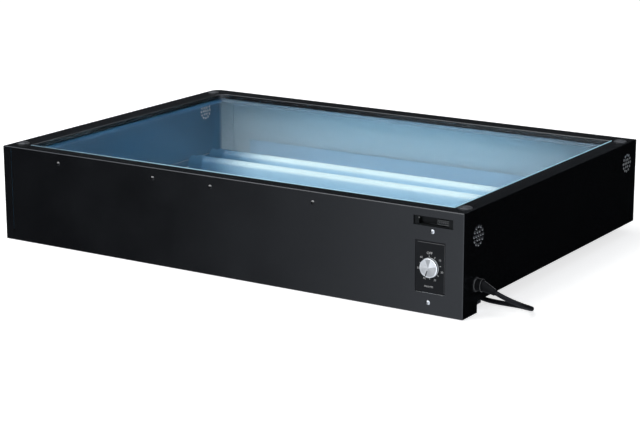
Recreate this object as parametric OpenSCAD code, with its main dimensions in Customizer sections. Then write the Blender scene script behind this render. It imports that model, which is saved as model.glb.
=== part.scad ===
// Exposure unit for screen printing frames: a low steel light box with a glass top,
// ultraviolet tubes over a white reflector, a wind-up timer and a mains lead.
// X runs to the right, Y to the back and Z up. The origin is on the floor, below the
// middle of the case.

/* [Case] */
// Width of the case over its end panels
case_w = 762; // [680:1:840]
// Depth of the case over its front and rear panels
case_d = 533; // [479:1:590]
// Height of the case above the floor
case_h = 140; // [126:1:160]
// Thickness of the case's sheet steel
sheet_t = 1.5; // [1.3:0.1:1.8]
// Outside radius of the folded edges
fold_r = 1.2; // [0.6:0.1:1.2]
// Radius of the rolled corner at the back on the left
roll_r = 16; // [12:1:18]
// Height of the raised lower edge of the sides and the back
side_lift = 16.5; // [15:0.5:18]
// Gap between the floor and the lowest edge of the front panel
front_lift = 1; // [0.5:0.5:2]
// Depth of the foot that each end panel has at the front
end_foot_d = 39; // [30:1:60]
// Inside radius where that foot meets the raised edge
notch_r = 4; // [2:0.5:8]
// Width of the flange that the left end panel folds round the front
front_return = 15; // [12:1:20]
// Width of the flanges that the end panels fold round the back
rear_return = 20; // [15:1:30]
// Width of the open seams between neighbouring panels
seam = 0.4; // [0.2:0.1:0.8]
// Height of the upturned flange round the base pan
pan_flange = 10; // [8:1:14]
// Width of the stiffening flange at the foot of the front panel
foot_flange = 12; // [8:1:16]

/* [Vents] */
// Diameter of one vent hole
vent_hole_d = 4; // [2:0.5:4.5]
// Distance from ring to ring of the vent holes
vent_ring = 6; // [5.5:0.5:7]
// Distance from the front of the case to the front vents
vent_front_y = 39.5; // [36:0.5:60]
// Distance from the top of the case to the middle of the front vents
vent_front_drop = 36.5; // [36.5:0.5:50]
// Distance from the back of the case to the rear vents
vent_rear_y = 33; // [32:0.5:60]
// Distance from the top of the case to the middle of the rear vents on the right
vent_right_drop = 30; // [28:0.5:45]
// Distance from the top of the case to the middle of the rear vents on the left
vent_left_drop = 38.5; // [36.5:0.5:50]

/* [Glass and top frame] */
// Width of the top frame's border at the front
border_front = 23.5; // [22:0.5:30]
// Width of the border at the back
border_rear = 30; // [28:0.5:36]
// Width of the border on the left
border_left = 33; // [31:0.5:40]
// Width of the border on the right
border_right = 26.5; // [25.5:0.5:32]
// Depth of the glass below the top of the frame
glass_drop = 6.5; // [6:0.5:8]
// Thickness of the glass
glass_t = 8; // [6:0.5:8]
// How far the glass reaches under the frame
glass_overlap = 6; // [4:0.5:8]
// Thickness of the rubber strip below the glass
seal_t = 5; // [4:0.5:6]
// Height of the upright leg of the ledges that carry the glass
ledge_leg = 17; // [14:0.5:17]
// Diameter of the dome plugs in the top frame
plug_dome_d = 19.5; // [17:0.5:21]
// Height of those domes
plug_dome_h = 1.6; // [1:0.1:2]
// Diameter of the holes that the dome plugs close
plug_hole_d = 15; // [12:0.5:16]
// Distance of the dome plugs from the end panels
plug_x = 14; // [12:0.5:14]
// Distance of the dome plugs from the front and the back
plug_y = 28; // [24:0.5:40]

/* [Lamps] */
// Distance between the two tubes of a bank
lamp_pitch = 56; // [48:1:70]
// Distance from the front and the back of the case to the middle of the nearer bank
bank_inset = 141; // [120:1:160]
// Diameter of a tube
lamp_d = 25.5; // [24:0.5:28]
// Wall of the tube's glass
lamp_wall = 0.8; // [0.6:0.1:1.2]
// Distance from each end panel's outside to the ends of the tubes' caps
lamp_inset = 86; // [85:0.5:101]
// Length of the metal cap at each end of a tube
lamp_cap_l = 14; // [10:1:20]
// Height of the tubes' axes above the floor
lamp_z = 48.5; // [47:0.5:52]
// Diameter of the caps' contact pins
pin_d = 2.4; // [2:0.1:2.6]
// Distance between the two pins of a cap
pin_gap = 12.7; // [12:0.1:13]
// Length of a contact pin
pin_l = 7; // [6:0.5:8]
// Thickness of a lamp holder along the tube
holder_t = 12; // [10:0.5:14]
// Width of a lamp holder
holder_w = 24; // [22:1:30]
// Thickness of the reflector's sheet
reflector_t = 1; // [0.8:0.1:1.2]
// Height of the reflector's upper face above the floor
reflector_z = 30; // [30:0.5:31]
// Height of the reflector's lip at the front and the back
reflector_lip = 26; // [16:1:30]

/* [Ballasts and terminals] */
// Distance from the back of the case to the rear ballast
ballast_inset = 50.5; // [40:0.5:90]
// Width of a ballast
ballast_w = 40; // [34:1:40]
// Height of a ballast
ballast_h = 28; // [20:1:32]
// Space between the two ballasts
ballast_space = 12; // [8:1:16]
// Space between a ballast and the pan's flange on the right
ballast_side = 14.2; // [13:0.1:14.2]
// Width of the terminal block
block_w = 17; // [14:1:18]
// Depth of the terminal block
block_d = 30; // [26:1:34]
// Height of the terminal block
block_h = 14; // [10:1:14]

/* [Timer] */
// Distance of the timer's axis from the right side
timer_x = 48; // [46:0.5:50]
// Width of the dial plate
dial_w = 43; // [38:0.5:43]
// Height of the dial plate
dial_h = 68; // [60:0.5:72]
// Thickness of the dial plate
dial_t = 1; // [0.6:0.1:1.2]
// Gap round the dial plate in its window
dial_gap = 0.4; // [0.2:0.1:1]
// Height of the lower timer screw above the floor
timer_low_z = 16.25; // [15.5:0.05:18]
// Distance of the upper timer screw from the top of the case
timer_high_drop = 29.25; // [29.25:0.05:34]
// Sideways offset of each timer screw from the axis
timer_offset = 2.7; // [0:0.1:4]
// Diameter of the timer screws' heads
timer_head_d = 6.4; // [5:0.1:8]
// Width of the timer's movement
movement_w = 41; // [36:1:41]
// Height of the timer's movement
movement_h = 66; // [60:1:74]
// Depth of the timer's movement behind its strap
movement_d = 34; // [28:1:36]
// Diameter of the knob
knob_d = 26; // [22:0.5:30]
// Height of the knob
knob_h = 5.5; // [4.5:0.5:8]
// Gap between the knob and the dial plate
knob_gap = 0.4; // [0.3:0.1:1]
// Diameter of the timer's shaft
shaft_d = 6; // [5:0.1:7]
// Play round the shaft, on the radius
shaft_play = 0.05; // [0.02:0.01:0.1]
// Pointer's angle from the top of the dial, clockwise
pointer_angle = 200; // [0:1:300]
// Angle from one numbered mark to the next
mark_step = 52; // [40:1:52]
// Number of numbered marks after the off mark
mark_count = 6; // [4:1:6]
// Radius of the ring of marks
mark_ring = 16.5; // [16:0.1:17]
// Height of the printed marks above the plate
mark_t = 0.15; // [0.1:0.05:0.2]

/* [Counter] */
// Width of the counter's slot
slot_w = 57.5; // [50:0.5:57.5]
// Height of the counter's slot
slot_h = 12.5; // [10:0.5:12.5]
// Distance of the slot's middle from the right side
slot_x = 44.2; // [42:0.1:46]
// Distance of the slot's middle from the top of the case
slot_drop = 16.5; // [15:0.1:16.5]
// Wall of the bezel round the slot
bezel_wall = 1.6; // [1:0.1:2.4]
// How deep the bezel's face lies behind the front panel's face
bezel_drop = 0.8; // [0.4:0.1:1.2]
// Width of the counter's display frame
display_w = 25; // [20:0.5:30]
// Depth of the counter's case behind the front panel
counter_d = 12; // [9:0.5:13]

/* [Fasteners and feet] */
// Diameter of the black screws' heads
screw_head_d = 6; // [5:0.1:7]
// Height of those heads
screw_head_h = 1.8; // [1:0.1:2.4]
// Diameter of the screws' shanks
screw_d = 3; // [2.5:0.1:3.4]
// Play round a screw in its hole, on the radius
screw_play = 0.2; // [0.1:0.05:0.4]
// Distances of the black screws from the left side of the case
screw_x_list = [104, 273, 371, 537]; // [30:1:600]
// Distance of those screws from the top of the case
screw_drop = 15; // [14:0.1:15.2]
// Distance of a rubber foot from the ends of the case
foot_x = 62; // [62:0.5:66]
// Distance of a rubber foot from the front and the back
foot_y = 75; // [72:1:100]
// Diameter of a foot at the top
foot_d = 30; // [24:1:34]
// Diameter of a foot at the floor
foot_floor_d = 26; // [20:1:30]

/* [Lead] */
// Distance of the strain relief from the front
relief_y = 33.5; // [30:0.5:36]
// Height of the strain relief above the floor
relief_z = 40.5; // [38:0.5:44]
// Diameter of the strain relief's flange
relief_flange_d = 20; // [18:0.5:22]
// Diameter of the strain relief's body
relief_body_d = 16; // [14:0.5:16.5]
// Length of the body outside the case
relief_body_l = 12; // [8:0.5:14]
// Length of the tapered sleeve
sleeve_l = 20; // [16:0.5:24]
// Angle by which the sleeve droops
sleeve_droop = 20; // [0:1:25]
// Diameter of the lead
cord_d = 6.4; // [5.8:0.1:6.6]
// Radius of the coil's innermost turn
coil_in_r = 28; // [27:0.5:30]
// Distance from turn to turn and from layer to layer of the coil
coil_pitch = 7; // [6.9:0.1:7.4]
// Width of the plug's body
plug_w = 26; // [22:0.5:28]
// Length of the plug's body
plug_l = 34; // [30:1:40]

/* [Hidden] */
$fn = 48;

// Overlap of cutting shapes beyond the faces that they cut
cut = 1;
left = -case_w / 2;
right = case_w / 2;
front = -case_d / 2;
back = case_d / 2;
// Underside of the top frame, on the panels' upper edges
frame_z = case_h - sheet_t;
// The glass, its seals and the ledges below them
glass_top = case_h - glass_drop;
glass_z = glass_top - glass_t;
ledge_z = glass_z - seal_t;
ledge_t = 1.5;
ledge_low = ledge_z - ledge_t;
// The light opening's edges
open_l = left + border_left;
open_r = right - border_right;
open_f = front + border_front;
open_b = back - border_rear;
open_corner_r = roll_r;
// Ends of the ledges along the front and the back, clear of those along the sides
ledge_x0 = open_l + 1;
ledge_x1 = open_r - 1;
// The pan's floor and the play round the pan
pan_top = side_lift + sheet_t;
pan_play = 0.2;

// The timer: its axis, midway between its two screws, its strap, and its dial, knob and
// shaft along Y
timer_mid_x = right - timer_x;
timer_high_z = case_h - timer_high_drop;
timer_z = (timer_low_z + timer_high_z) / 2;
strap_t = 1.2;
strap_w = 26;
strap_end = 3.2;
shaft_in = 18;
dial_face = front + sheet_t - dial_t;
knob_back = dial_face - knob_gap;
knob_cap = 1.6;
knob_skirt = 1.2;
shaft_end = front + sheet_t + strap_t + shaft_in;
shaft_bore = shaft_d + 2 * shaft_play;
bushing_d = 9;

// Heights of the counter's slot and the black screws
slot_z = case_h - slot_drop;
screw_z = case_h - screw_drop;

// The control box round the timer, and the room inside it
box_t = 1;
box_play = 1;
box_room = 50;
box_gap = 0.4;
box_l = timer_mid_x - movement_w / 2 - box_play - box_t;
box_r = right - sheet_t - pan_play;
box_b = front + sheet_t + box_room + box_t;
box_low = timer_low_z - strap_end - box_play - box_t;
box_high = slot_z - slot_h / 2 - bezel_wall - box_gap;
block_play = 1.5;

// The lamps' ends and the reflector that carries their holders
lamp_l = case_w - 2 * lamp_inset;
holder_play = 0.5;
holder_edge = 2;
holder_in = lamp_l / 2 + holder_play;
reflector_x = holder_in + holder_t + holder_edge;
reflector_play = 3;
reflector_low = reflector_z - reflector_t;
holder_mid_x = holder_in + holder_t / 2;
lamp_count = 4;
bank_y = case_d / 2 - bank_inset;
cap_wall = 1.5;
cap_side = 0.4;
cap_play = 0.05;

// The ballasts beside the reflector, and the wires
ballast_mid_x = box_r - sheet_t - ballast_side - ballast_w / 2;
ballast_gap = 8;
ballast_y0 = box_b + ballast_gap;
ballast_l = (back - ballast_inset - ballast_y0 - ballast_space) / 2;
tab_l = 10;
tab_in = 8;
tab_t = 1.2;
loom_d = 5;
loom_hole_d = 10;
loom_z = 46;
loom_drop = 9.5;
lead_wire_d = 2.2;
holder_wire_d = 3;
wire_y = -40;
wire_way = 20;
wire_z = (pan_top + reflector_low) / 2;

// The counter's slot and case
slot_mid_x = right - slot_x;
slot_play = 0.2;
counter_wall = bezel_wall + slot_play;
counter_l = slot_mid_x - slot_w / 2 - counter_wall;
counter_back = front + sheet_t + counter_d;

// Places of the black screws along the front and the back, and of the feet
panel_screw_x = [for (x = screw_x_list) left + x];
foot_mid_x = right - foot_x;
foot_mid_y = back - foot_y;
nut_w = 5.5;
nut_t = 2.4;
thread_play = 0.05;
foot_screw_d = 4;
foot_head_d = 8;
foot_head_h = 2.4;
foot_seat_z = 8;
foot_nut_w = 7;
foot_nut_t = 3.2;
plug_stem_l = 3;

// The strain relief and the plug of the lead
relief_hole_d = relief_body_d + 0.4;
relief_nut_w = 20;
relief_nut_t = 6;
relief_end = 1;
relief_inner = box_r - box_t - relief_nut_t - relief_end;
relief_flange_t = 2;
sleeve_in = 2;
plug_sleeve_l = 18;
plug_sleeve_d = 13;
plug_corner_r = 5;
blade_gap = 12.7;
blade_t = 1.5;
blade_h = 6.35;
blade_l = 17;
blade_rise = 5.2;
earth_d = 4.75;
earth_l = 20;
earth_drop = 11.9;

// Colours, as the photograph shows them
black_paint = [0.10, 0.105, 0.115];
black_plastic = [0.04, 0.04, 0.045];
white_paint = [0.80, 0.86, 0.90];
zinc = [0.72, 0.72, 0.74];

// Rectangle from one corner to the other, whose corner at the back on the left is round
module rolled_rectangle(x0, y0, x1, y1, r) {
    difference() {
        translate([x0, y0]) square([x1 - x0, y1 - y0]);
        translate([x0, y1 - r]) difference() {
            translate([-cut, 0]) square([r + cut, r + cut]);
            translate([r, 0]) circle(r, $fn = 96);
        }
    }
}

// Outline of the case, drawn in by a distance
module case_outline(inset) {
    rolled_rectangle(left + inset, front + inset, right - inset, back - inset, roll_r - inset);
}

// Outline of the light opening, made wider by a distance
module opening_outline(wider) {
    rolled_rectangle(open_l - wider, open_f - wider, open_r + wider, open_b + wider,
        open_corner_r + wider);
}

// A block between two corners
module block(x0, y0, z0, x1, y1, z1) {
    translate([x0, y0, z0]) cube([x1 - x0, y1 - y0, z1 - z0]);
}

// Profile that rounds a folded edge whose corner is at the origin: side is 1 where the sheet
// lies to the left of the corner and -1 where it lies to the right
module fold_cut(side) {
    difference() {
        translate([side < 0 ? -cut : -fold_r, -fold_r]) square([fold_r + cut, fold_r + cut]);
        translate([-side * fold_r, -fold_r]) circle(fold_r);
    }
}

// Rounds an upper edge that runs along X at y: side is 1 where the sheet lies in front of it
module edge_along_x(x0, x1, y, side) {
    translate([x0, y, case_h]) rotate([90, 0, 90]) linear_extrude(x1 - x0) fold_cut(side);
}

// Rounds an upper edge that runs along Y at x: side is 1 where the sheet lies to its left
module edge_along_y(y0, y1, x, side) {
    translate([x, y1, case_h]) rotate([90, 0, 0]) linear_extrude(y1 - y0) fold_cut(side);
}

// Rounds the upper edge of a rolled corner: side is 1 where the sheet lies inside its radius
module edge_round(x, y, r, side) {
    translate([x, y, case_h]) rotate([0, 0, 90])
        rotate_extrude(angle = 90, $fn = 96) translate([r, 0]) fold_cut(side);
}

// Rounds an upright edge of the case: turn is 0 at the back on the right, -90 at the front
// on the right and 180 at the front on the left
module upright_edge(x, y, turn) {
    translate([x, y, -cut]) rotate([0, 0, turn]) linear_extrude(case_h + 2 * cut) fold_cut(1);
}

// Rosette of vent holes through an end panel that starts at x = 0
module vent(y, z) {
    for (ring = [[0, 1], [1, 6], [2, 12]]) for (i = [0 : ring[1] - 1]) {
        turn = 360 / ring[1] * i;
        reach = ring[0] * vent_ring;
        translate([-cut, y + reach * cos(turn), z + reach * sin(turn)]) rotate([0, 90, 0])
            cylinder(d = vent_hole_d, h = sheet_t + 2 * cut, $fn = 24);
    }
}

// The space below an end panel's raised edge, behind its foot
module end_clearance() {
    foot_end = front + end_foot_d;
    difference() {
        block(-cut, foot_end, -cut, sheet_t + cut, back + cut, side_lift);
        translate([-2 * cut, foot_end - cut, side_lift - notch_r]) difference() {
            cube([sheet_t + 4 * cut, notch_r + cut, notch_r + cut]);
            translate([-cut, notch_r + cut, 0]) rotate([0, 90, 0])
                cylinder(r = notch_r, h = sheet_t + 6 * cut);
        }
    }
}

// Flat part of an end panel, with its left face at x = 0
module end_wall(y0, y1, rear_vent_drop) {
    difference() {
        block(0, y0, front_lift, sheet_t, y1, frame_z);
        end_clearance();
        vent(front + vent_front_y, case_h - vent_front_drop);
        vent(back - vent_rear_y, case_h - rear_vent_drop);
    }
}

// Clearance hole for a screw along Y, from y backwards
module screw_hole(x, y, z, depth) {
    translate([x, y, z]) rotate([-90, 0, 0])
        cylinder(d = screw_d + 2 * screw_play, h = depth, $fn = 24);
}

// Clearance holes for the black screws, from y backwards
module panel_screw_holes(y, depth) {
    for (x = panel_screw_x) screw_hole(x, y, screw_z, depth);
}

// Places of the two timer screws as seen from the front: X and Z
timer_screw_spots = [
    [timer_mid_x - timer_offset, timer_low_z], [timer_mid_x + timer_offset, timer_high_z]
];

// Clearance holes for the two timer screws, from y backwards
module timer_screw_holes(y, depth) {
    for (spot = timer_screw_spots) screw_hole(spot[0], y, spot[1], depth);
}

module front_panel() {
    x0 = left + front_return + seam;
    y1 = front + sheet_t;
    window_w = dial_w + 2 * dial_gap;
    window_h = dial_h + 2 * dial_gap;
    color(black_paint) difference() {
        union() {
            block(x0, front, front_lift, right, y1, frame_z);
            block(x0, front, front_lift, right - sheet_t - seam, y1 + foot_flange,
                front_lift + sheet_t);
        }
        upright_edge(right, front, -90);
        block(timer_mid_x - window_w / 2, front - cut, timer_z - window_h / 2,
            timer_mid_x + window_w / 2, y1 + cut, timer_z + window_h / 2);
        block(slot_mid_x - slot_w / 2, front - cut, slot_z - slot_h / 2,
            slot_mid_x + slot_w / 2, y1 + cut, slot_z + slot_h / 2);
        panel_screw_holes(front - cut, sheet_t + 2 * cut);
        timer_screw_holes(front - cut, sheet_t + 2 * cut);
    }
}

// Its flanges fold round the front and, past the rolled corner, round the back
module left_end_panel() {
    roll_x = left + roll_r;
    roll_y = back - roll_r;
    color(black_paint) difference() {
        union() {
            translate([left, 0, 0]) end_wall(front, roll_y, vent_left_drop);
            block(left, front, front_lift, left + front_return, front + sheet_t, frame_z);
            translate([roll_x, roll_y, side_lift]) rotate([0, 0, 90])
                rotate_extrude(angle = 90, $fn = 96)
                    translate([roll_r - sheet_t, 0]) square([sheet_t, frame_z - side_lift]);
            block(roll_x, back - sheet_t, side_lift, roll_x + rear_return, back, frame_z);
        }
        upright_edge(left, front, 180);
    }
}

module right_end_panel() {
    color(black_paint) difference() {
        union() {
            translate([right - sheet_t, 0, 0]) end_wall(front + sheet_t, back, vent_right_drop);
            block(right - rear_return, back - sheet_t, side_lift, right, back, frame_z);
        }
        upright_edge(right, back, 0);
        relief_hole(right - sheet_t, sheet_t);
    }
}

// Hole for the strain relief through a wall of thickness t that starts at x
module relief_hole(x, t) {
    translate([x - cut, front + relief_y, relief_z]) rotate([0, 90, 0])
        cylinder(d = relief_hole_d, h = t + 2 * cut);
}

module rear_panel() {
    y0 = back - sheet_t;
    color(black_paint) difference() {
        block(left + roll_r + rear_return + seam, y0, side_lift, right - rear_return - seam,
            back, frame_z);
        panel_screw_holes(y0 - cut, sheet_t + 2 * cut);
    }
}

// One pressed frame: a flat border and a lip that goes down to the glass
module top_frame() {
    color(black_paint) difference() {
        union() {
            translate([0, 0, frame_z]) linear_extrude(sheet_t) difference() {
                case_outline(0);
                opening_outline(0);
            }
            translate([0, 0, glass_top]) linear_extrude(frame_z - glass_top) difference() {
                opening_outline(sheet_t);
                opening_outline(0);
            }
        }
        // Outer edges
        edge_along_x(left - cut, right + cut, front, -1);
        edge_along_x(left + roll_r, right + cut, back, 1);
        edge_along_y(front - cut, back - roll_r, left, -1);
        edge_along_y(front - cut, back + cut, right, 1);
        edge_round(left + roll_r, back - roll_r, roll_r, 1);
        upright_edge(left, front, 180);
        upright_edge(right, front, -90);
        upright_edge(right, back, 0);
        // Edges of the light opening
        edge_along_x(open_l, open_r, open_f, 1);
        edge_along_x(open_l + open_corner_r, open_r, open_b, -1);
        edge_along_y(open_f, open_b - open_corner_r, open_l, 1);
        edge_along_y(open_f, open_b, open_r, -1);
        edge_round(open_l + open_corner_r, open_b - open_corner_r, open_corner_r, -1);
        plug_places() translate([0, 0, -sheet_t - cut])
            cylinder(d = plug_hole_d, h = sheet_t + 2 * cut);
    }
}

// The four places of the dome plugs, on the top of the frame
module plug_places() {
    for (x = [left + plug_x, right - plug_x]) for (y = [front + plug_y, back - plug_y])
        translate([x, y, case_h]) children();
}

// The four places of the feet, on the floor
module foot_places() {
    for (x = [-foot_mid_x, foot_mid_x]) for (y = [-foot_mid_y, foot_mid_y])
        translate([x, y, 0]) children();
}

// The four places of the ballasts' screws, on the pan
module ballast_screw_places() {
    for (y = [ballast_y0, ballast_y0 + ballast_l + ballast_space])
        for (dy = [tab_l / 2, ballast_l - tab_l / 2])
            translate([ballast_mid_x, y + dy, pan_top]) children();
}

// Floor of the case, with an upturned flange and a notch for the control box
module base_pan() {
    outer = sheet_t + pan_play;
    color(black_paint) difference() {
        union() {
            translate([0, 0, side_lift]) linear_extrude(sheet_t) case_outline(outer);
            translate([0, 0, pan_top]) linear_extrude(pan_flange) difference() {
                case_outline(outer);
                case_outline(outer + sheet_t);
            }
        }
        block(box_l - box_play, front, 0, right, box_b + box_play, case_h);
        foot_places() cylinder(d = foot_screw_d + 2 * screw_play, h = case_h, $fn = 24);
        ballast_screw_places() translate([0, 0, -sheet_t - cut])
            cylinder(d = screw_d + 2 * screw_play, h = sheet_t + 2 * cut, $fn = 24);
    }
}

// Sheet angle along the front, with its leg up against the panel
module ledge_front() {
    x1 = counter_l - box_play;
    y0 = front + sheet_t;
    color(zinc) difference() {
        union() {
            block(ledge_x0, y0, ledge_low, x1, open_f, ledge_z);
            block(ledge_x0, y0, ledge_low, x1, y0 + ledge_t, ledge_low + ledge_leg);
        }
        panel_screw_holes(y0 - cut, ledge_t + 2 * cut);
    }
}

module ledge_rear() {
    y1 = back - sheet_t;
    color(zinc) difference() {
        union() {
            block(ledge_x0, open_b, ledge_low, ledge_x1, y1, ledge_z);
            block(ledge_x0, y1 - ledge_t, ledge_low, ledge_x1, y1, ledge_low + ledge_leg);
        }
        panel_screw_holes(y1 - ledge_t - cut, ledge_t + 2 * cut);
    }
}

module ledge_left() {
    x0 = left + sheet_t;
    y0 = front + sheet_t + seam;
    y1 = back - roll_r - 1;
    color(zinc) {
        block(x0, y0, ledge_low, open_l, y1, ledge_z);
        block(x0, y0, ledge_low, x0 + ledge_t, y1, ledge_low + ledge_leg);
    }
}

module ledge_right() {
    x1 = right - sheet_t;
    y0 = counter_back + box_play;
    y1 = back - sheet_t - seam;
    color(zinc) {
        block(open_r, y0, ledge_low, x1, y1, ledge_z);
        block(x1 - ledge_t, y0, ledge_low, x1, y1, ledge_low + ledge_leg);
    }
}

// Rubber strips that the glass lies on, one on each ledge
module glass_seals() {
    w = glass_overlap;
    color(black_plastic) {
        block(ledge_x0, open_f - w, ledge_z, counter_l - box_play, open_f, glass_z);
        block(ledge_x0, open_b, ledge_z, ledge_x1, open_b + w, glass_z);
        block(open_l - w, open_f - w, ledge_z, open_l, open_b + w, glass_z);
        block(open_r, open_f - w, ledge_z, open_r + w, open_b + w, glass_z);
    }
}

module glass() {
    w = glass_overlap;
    color([0.55, 0.75, 0.85, 0.4])
        block(open_l - w, open_f - w, glass_z, open_r + w, open_b + w, glass_top);
}

// White tray under the lamps, with a lip at the front and the back and a leg at each end
module reflector() {
    y0 = front + sheet_t + reflector_play;
    y1 = back - sheet_t - reflector_play;
    lip_z = reflector_z + reflector_lip;
    color(white_paint) difference() {
        union() {
            block(-reflector_x, y0, reflector_low, reflector_x, y1, reflector_z);
            for (y = [y0, y1 - reflector_t])
                block(-reflector_x, y, reflector_low, reflector_x, y + reflector_t, lip_z);
            for (x = [-reflector_x, reflector_x - reflector_t])
                block(x, y0, pan_top, x + reflector_t, y1, reflector_z);
        }
        // Way for the wires through the right leg, and a hole below each lamp holder
        block(reflector_x - reflector_t - cut, wire_y - wire_way / 2, wire_z - loom_d / 2 - 1,
            reflector_x + cut, wire_y + wire_way / 2, wire_z + loom_d / 2 + 1);
        holder_places() translate([0, 0, reflector_low - cut])
            cylinder(d = holder_wire_d + 2, h = reflector_t + 2 * cut, $fn = 24);
    }
}

// Axis of a tube, counted from the front: two tubes in each of the two banks
function lamp_y(i) = (i > 2 ? bank_y : -bank_y) + (i % 2 == 0 ? 1 : -1) * lamp_pitch / 2;

// The middles of all lamp holders, on the floor
module holder_places() {
    for (i = [1 : lamp_count]) for (x = [-holder_mid_x, holder_mid_x])
        translate([x, lamp_y(i), 0]) children();
}

// Hollow glass tube between the end walls of its two caps
module lamp_tube(i) {
    tube_l = lamp_l - 2 * cap_wall;
    color([0.85, 0.95, 1.0]) translate([-tube_l / 2, lamp_y(i), lamp_z]) rotate([0, 90, 0])
        difference() {
            cylinder(d = lamp_d, h = tube_l, $fn = 64);
            translate([0, 0, -cut])
                cylinder(d = lamp_d - 2 * lamp_wall, h = tube_l + 2 * cut, $fn = 64);
        }
}

// Metal cap with its two contact pins, whose outer face is at the origin and looks along X
module lamp_cap() {
    bore = lamp_d + 2 * cap_play;
    rotate([0, 90, 0]) {
        translate([0, 0, -lamp_cap_l]) difference() {
            cylinder(d = bore + 2 * cap_side, h = lamp_cap_l, $fn = 64);
            translate([0, 0, -cut]) cylinder(d = bore, h = lamp_cap_l - cap_wall + cut, $fn = 64);
        }
        for (s = [-1, 1]) translate([0, s * pin_gap / 2, -cap_wall])
            cylinder(d = pin_d, h = pin_l + cap_wall, $fn = 24);
    }
}

module lamp_caps() {
    color(zinc) for (i = [1 : lamp_count]) for (turn = [0, 180])
        translate([0, lamp_y(i), lamp_z]) rotate([0, 0, turn]) translate([lamp_l / 2, 0, 0])
            lamp_cap();
}

// Row of holders on the right: each has a slot for the cap's pins, open at the top
module lamp_holders() {
    slot_deep = pin_l - holder_play + 1;
    slot_wide = pin_gap + pin_d + 1.4;
    slot_tall = pin_d + 1;
    color([0.90, 0.90, 0.88]) for (i = [1 : lamp_count])
        translate([holder_in, lamp_y(i), 0]) difference() {
            union() {
                block(0, -holder_w / 2, reflector_z, holder_t, holder_w / 2, lamp_z);
                translate([0, 0, lamp_z]) rotate([0, 90, 0])
                    cylinder(d = holder_w, h = holder_t, $fn = 64);
            }
            block(-cut, -slot_wide / 2, lamp_z - slot_tall / 2, slot_deep, slot_wide / 2,
                lamp_z + slot_tall / 2);
            block(-cut, -slot_tall / 2, lamp_z, slot_deep, slot_tall / 2, lamp_z + holder_w);
        }
}

module lamp_holders_right() lamp_holders();
module lamp_holders_left() mirror([1, 0, 0]) lamp_holders();

// Steel case with a fixing tab at each end, from y backwards
module ballast(y) {
    x0 = ballast_mid_x - ballast_w / 2;
    x1 = ballast_mid_x + ballast_w / 2;
    color([0.82, 0.83, 0.84]) difference() {
        union() {
            block(x0, y + tab_l, pan_top, x1, y + ballast_l - tab_l, pan_top + ballast_h);
            block(x0 + tab_in, y, pan_top, x1 - tab_in, y + ballast_l, pan_top + tab_t);
        }
        ballast_screw_places() translate([0, 0, -cut])
            cylinder(d = screw_d + 2 * screw_play, h = tab_t + 2 * cut, $fn = 24);
    }
}

module ballast_front() ballast(ballast_y0);
module ballast_rear() ballast(ballast_y0 + ballast_l + ballast_space);

// Self-tapping screws through the ballasts' tabs and the pan
module ballast_screws() {
    past = 2;
    color(zinc) ballast_screw_places() translate([0, 0, tab_t])
        round_screw(screw_head_d, screw_head_h, tab_t + sheet_t + past);
}

// Low dome of a screw's or a plug's head, standing on z = 0
module dome(d, h) {
    r = (d * d / 4 + h * h) / (2 * h);
    rotate_extrude() intersection() {
        translate([0, h - r]) circle(r, $fn = 160);
        square([d, h + cut]);
    }
}

// Round-head screw along Z with a cross recess: its head stands on z = 0
module round_screw(head_d, head_h, length) {
    arm_l = head_d * 0.56;
    arm_w = 0.8;
    floor_z = head_h * 0.45;
    difference() {
        dome(head_d, head_h);
        for (turn = [20, 110]) rotate([0, 0, turn])
            translate([-arm_l / 2, -arm_w / 2, floor_z]) cube([arm_l, arm_w, head_h]);
    }
    translate([0, 0, -length]) cylinder(d = screw_d, h = length + floor_z / 2, $fn = 24);
}

// Closed steel box round the timer, open to the front panel
module control_box() {
    y0 = front + sheet_t;
    color(zinc) difference() {
        block(box_l, y0, box_low, box_r, box_b, box_high);
        block(box_l + box_t, y0 - cut, box_low + box_t, box_r - box_t, box_b - box_t,
            box_high - box_t);
        relief_hole(box_r - box_t, box_t);
        translate([ballast_mid_x, box_b - box_t - cut, loom_z]) rotate([-90, 0, 0])
            cylinder(d = loom_hole_d, h = box_t + 2 * cut);
    }
}

// Terminal block on the floor of the control box, with two screws for each of three wires
block_x = box_r - box_t - block_play - block_w / 2;
block_y = front + sheet_t + block_play + block_d / 2;
block_top = box_low + box_t + block_h;

module terminal_block() {
    well_deep = 3;
    well_d = 3.6;
    color([0.88, 0.87, 0.82]) difference() {
        block(block_x - block_w / 2, block_y - block_d / 2, block_top - block_h,
            block_x + block_w / 2, block_y + block_d / 2, block_top);
        for (i = [-1 : 1]) for (s = [-1, 1])
            translate([block_x + s * block_w / 4, block_y + i * block_d * 0.3,
                block_top - well_deep])
                cylinder(d = well_d, h = well_deep + cut, $fn = 24);
    }
}

// A wire that leaves point a along one pull and reaches point b against another
module wire(a, pull_a, b, pull_b, d) {
    steps = 10;
    p1 = a + pull_a;
    p2 = b + pull_b;
    tube([for (i = [0 : steps]) let (t = i / steps, u = 1 - t)
        u * u * u * a + 3 * u * u * t * p1 + 3 * u * t * t * p2 + t * t * t * b], d, 8);
}

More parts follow.
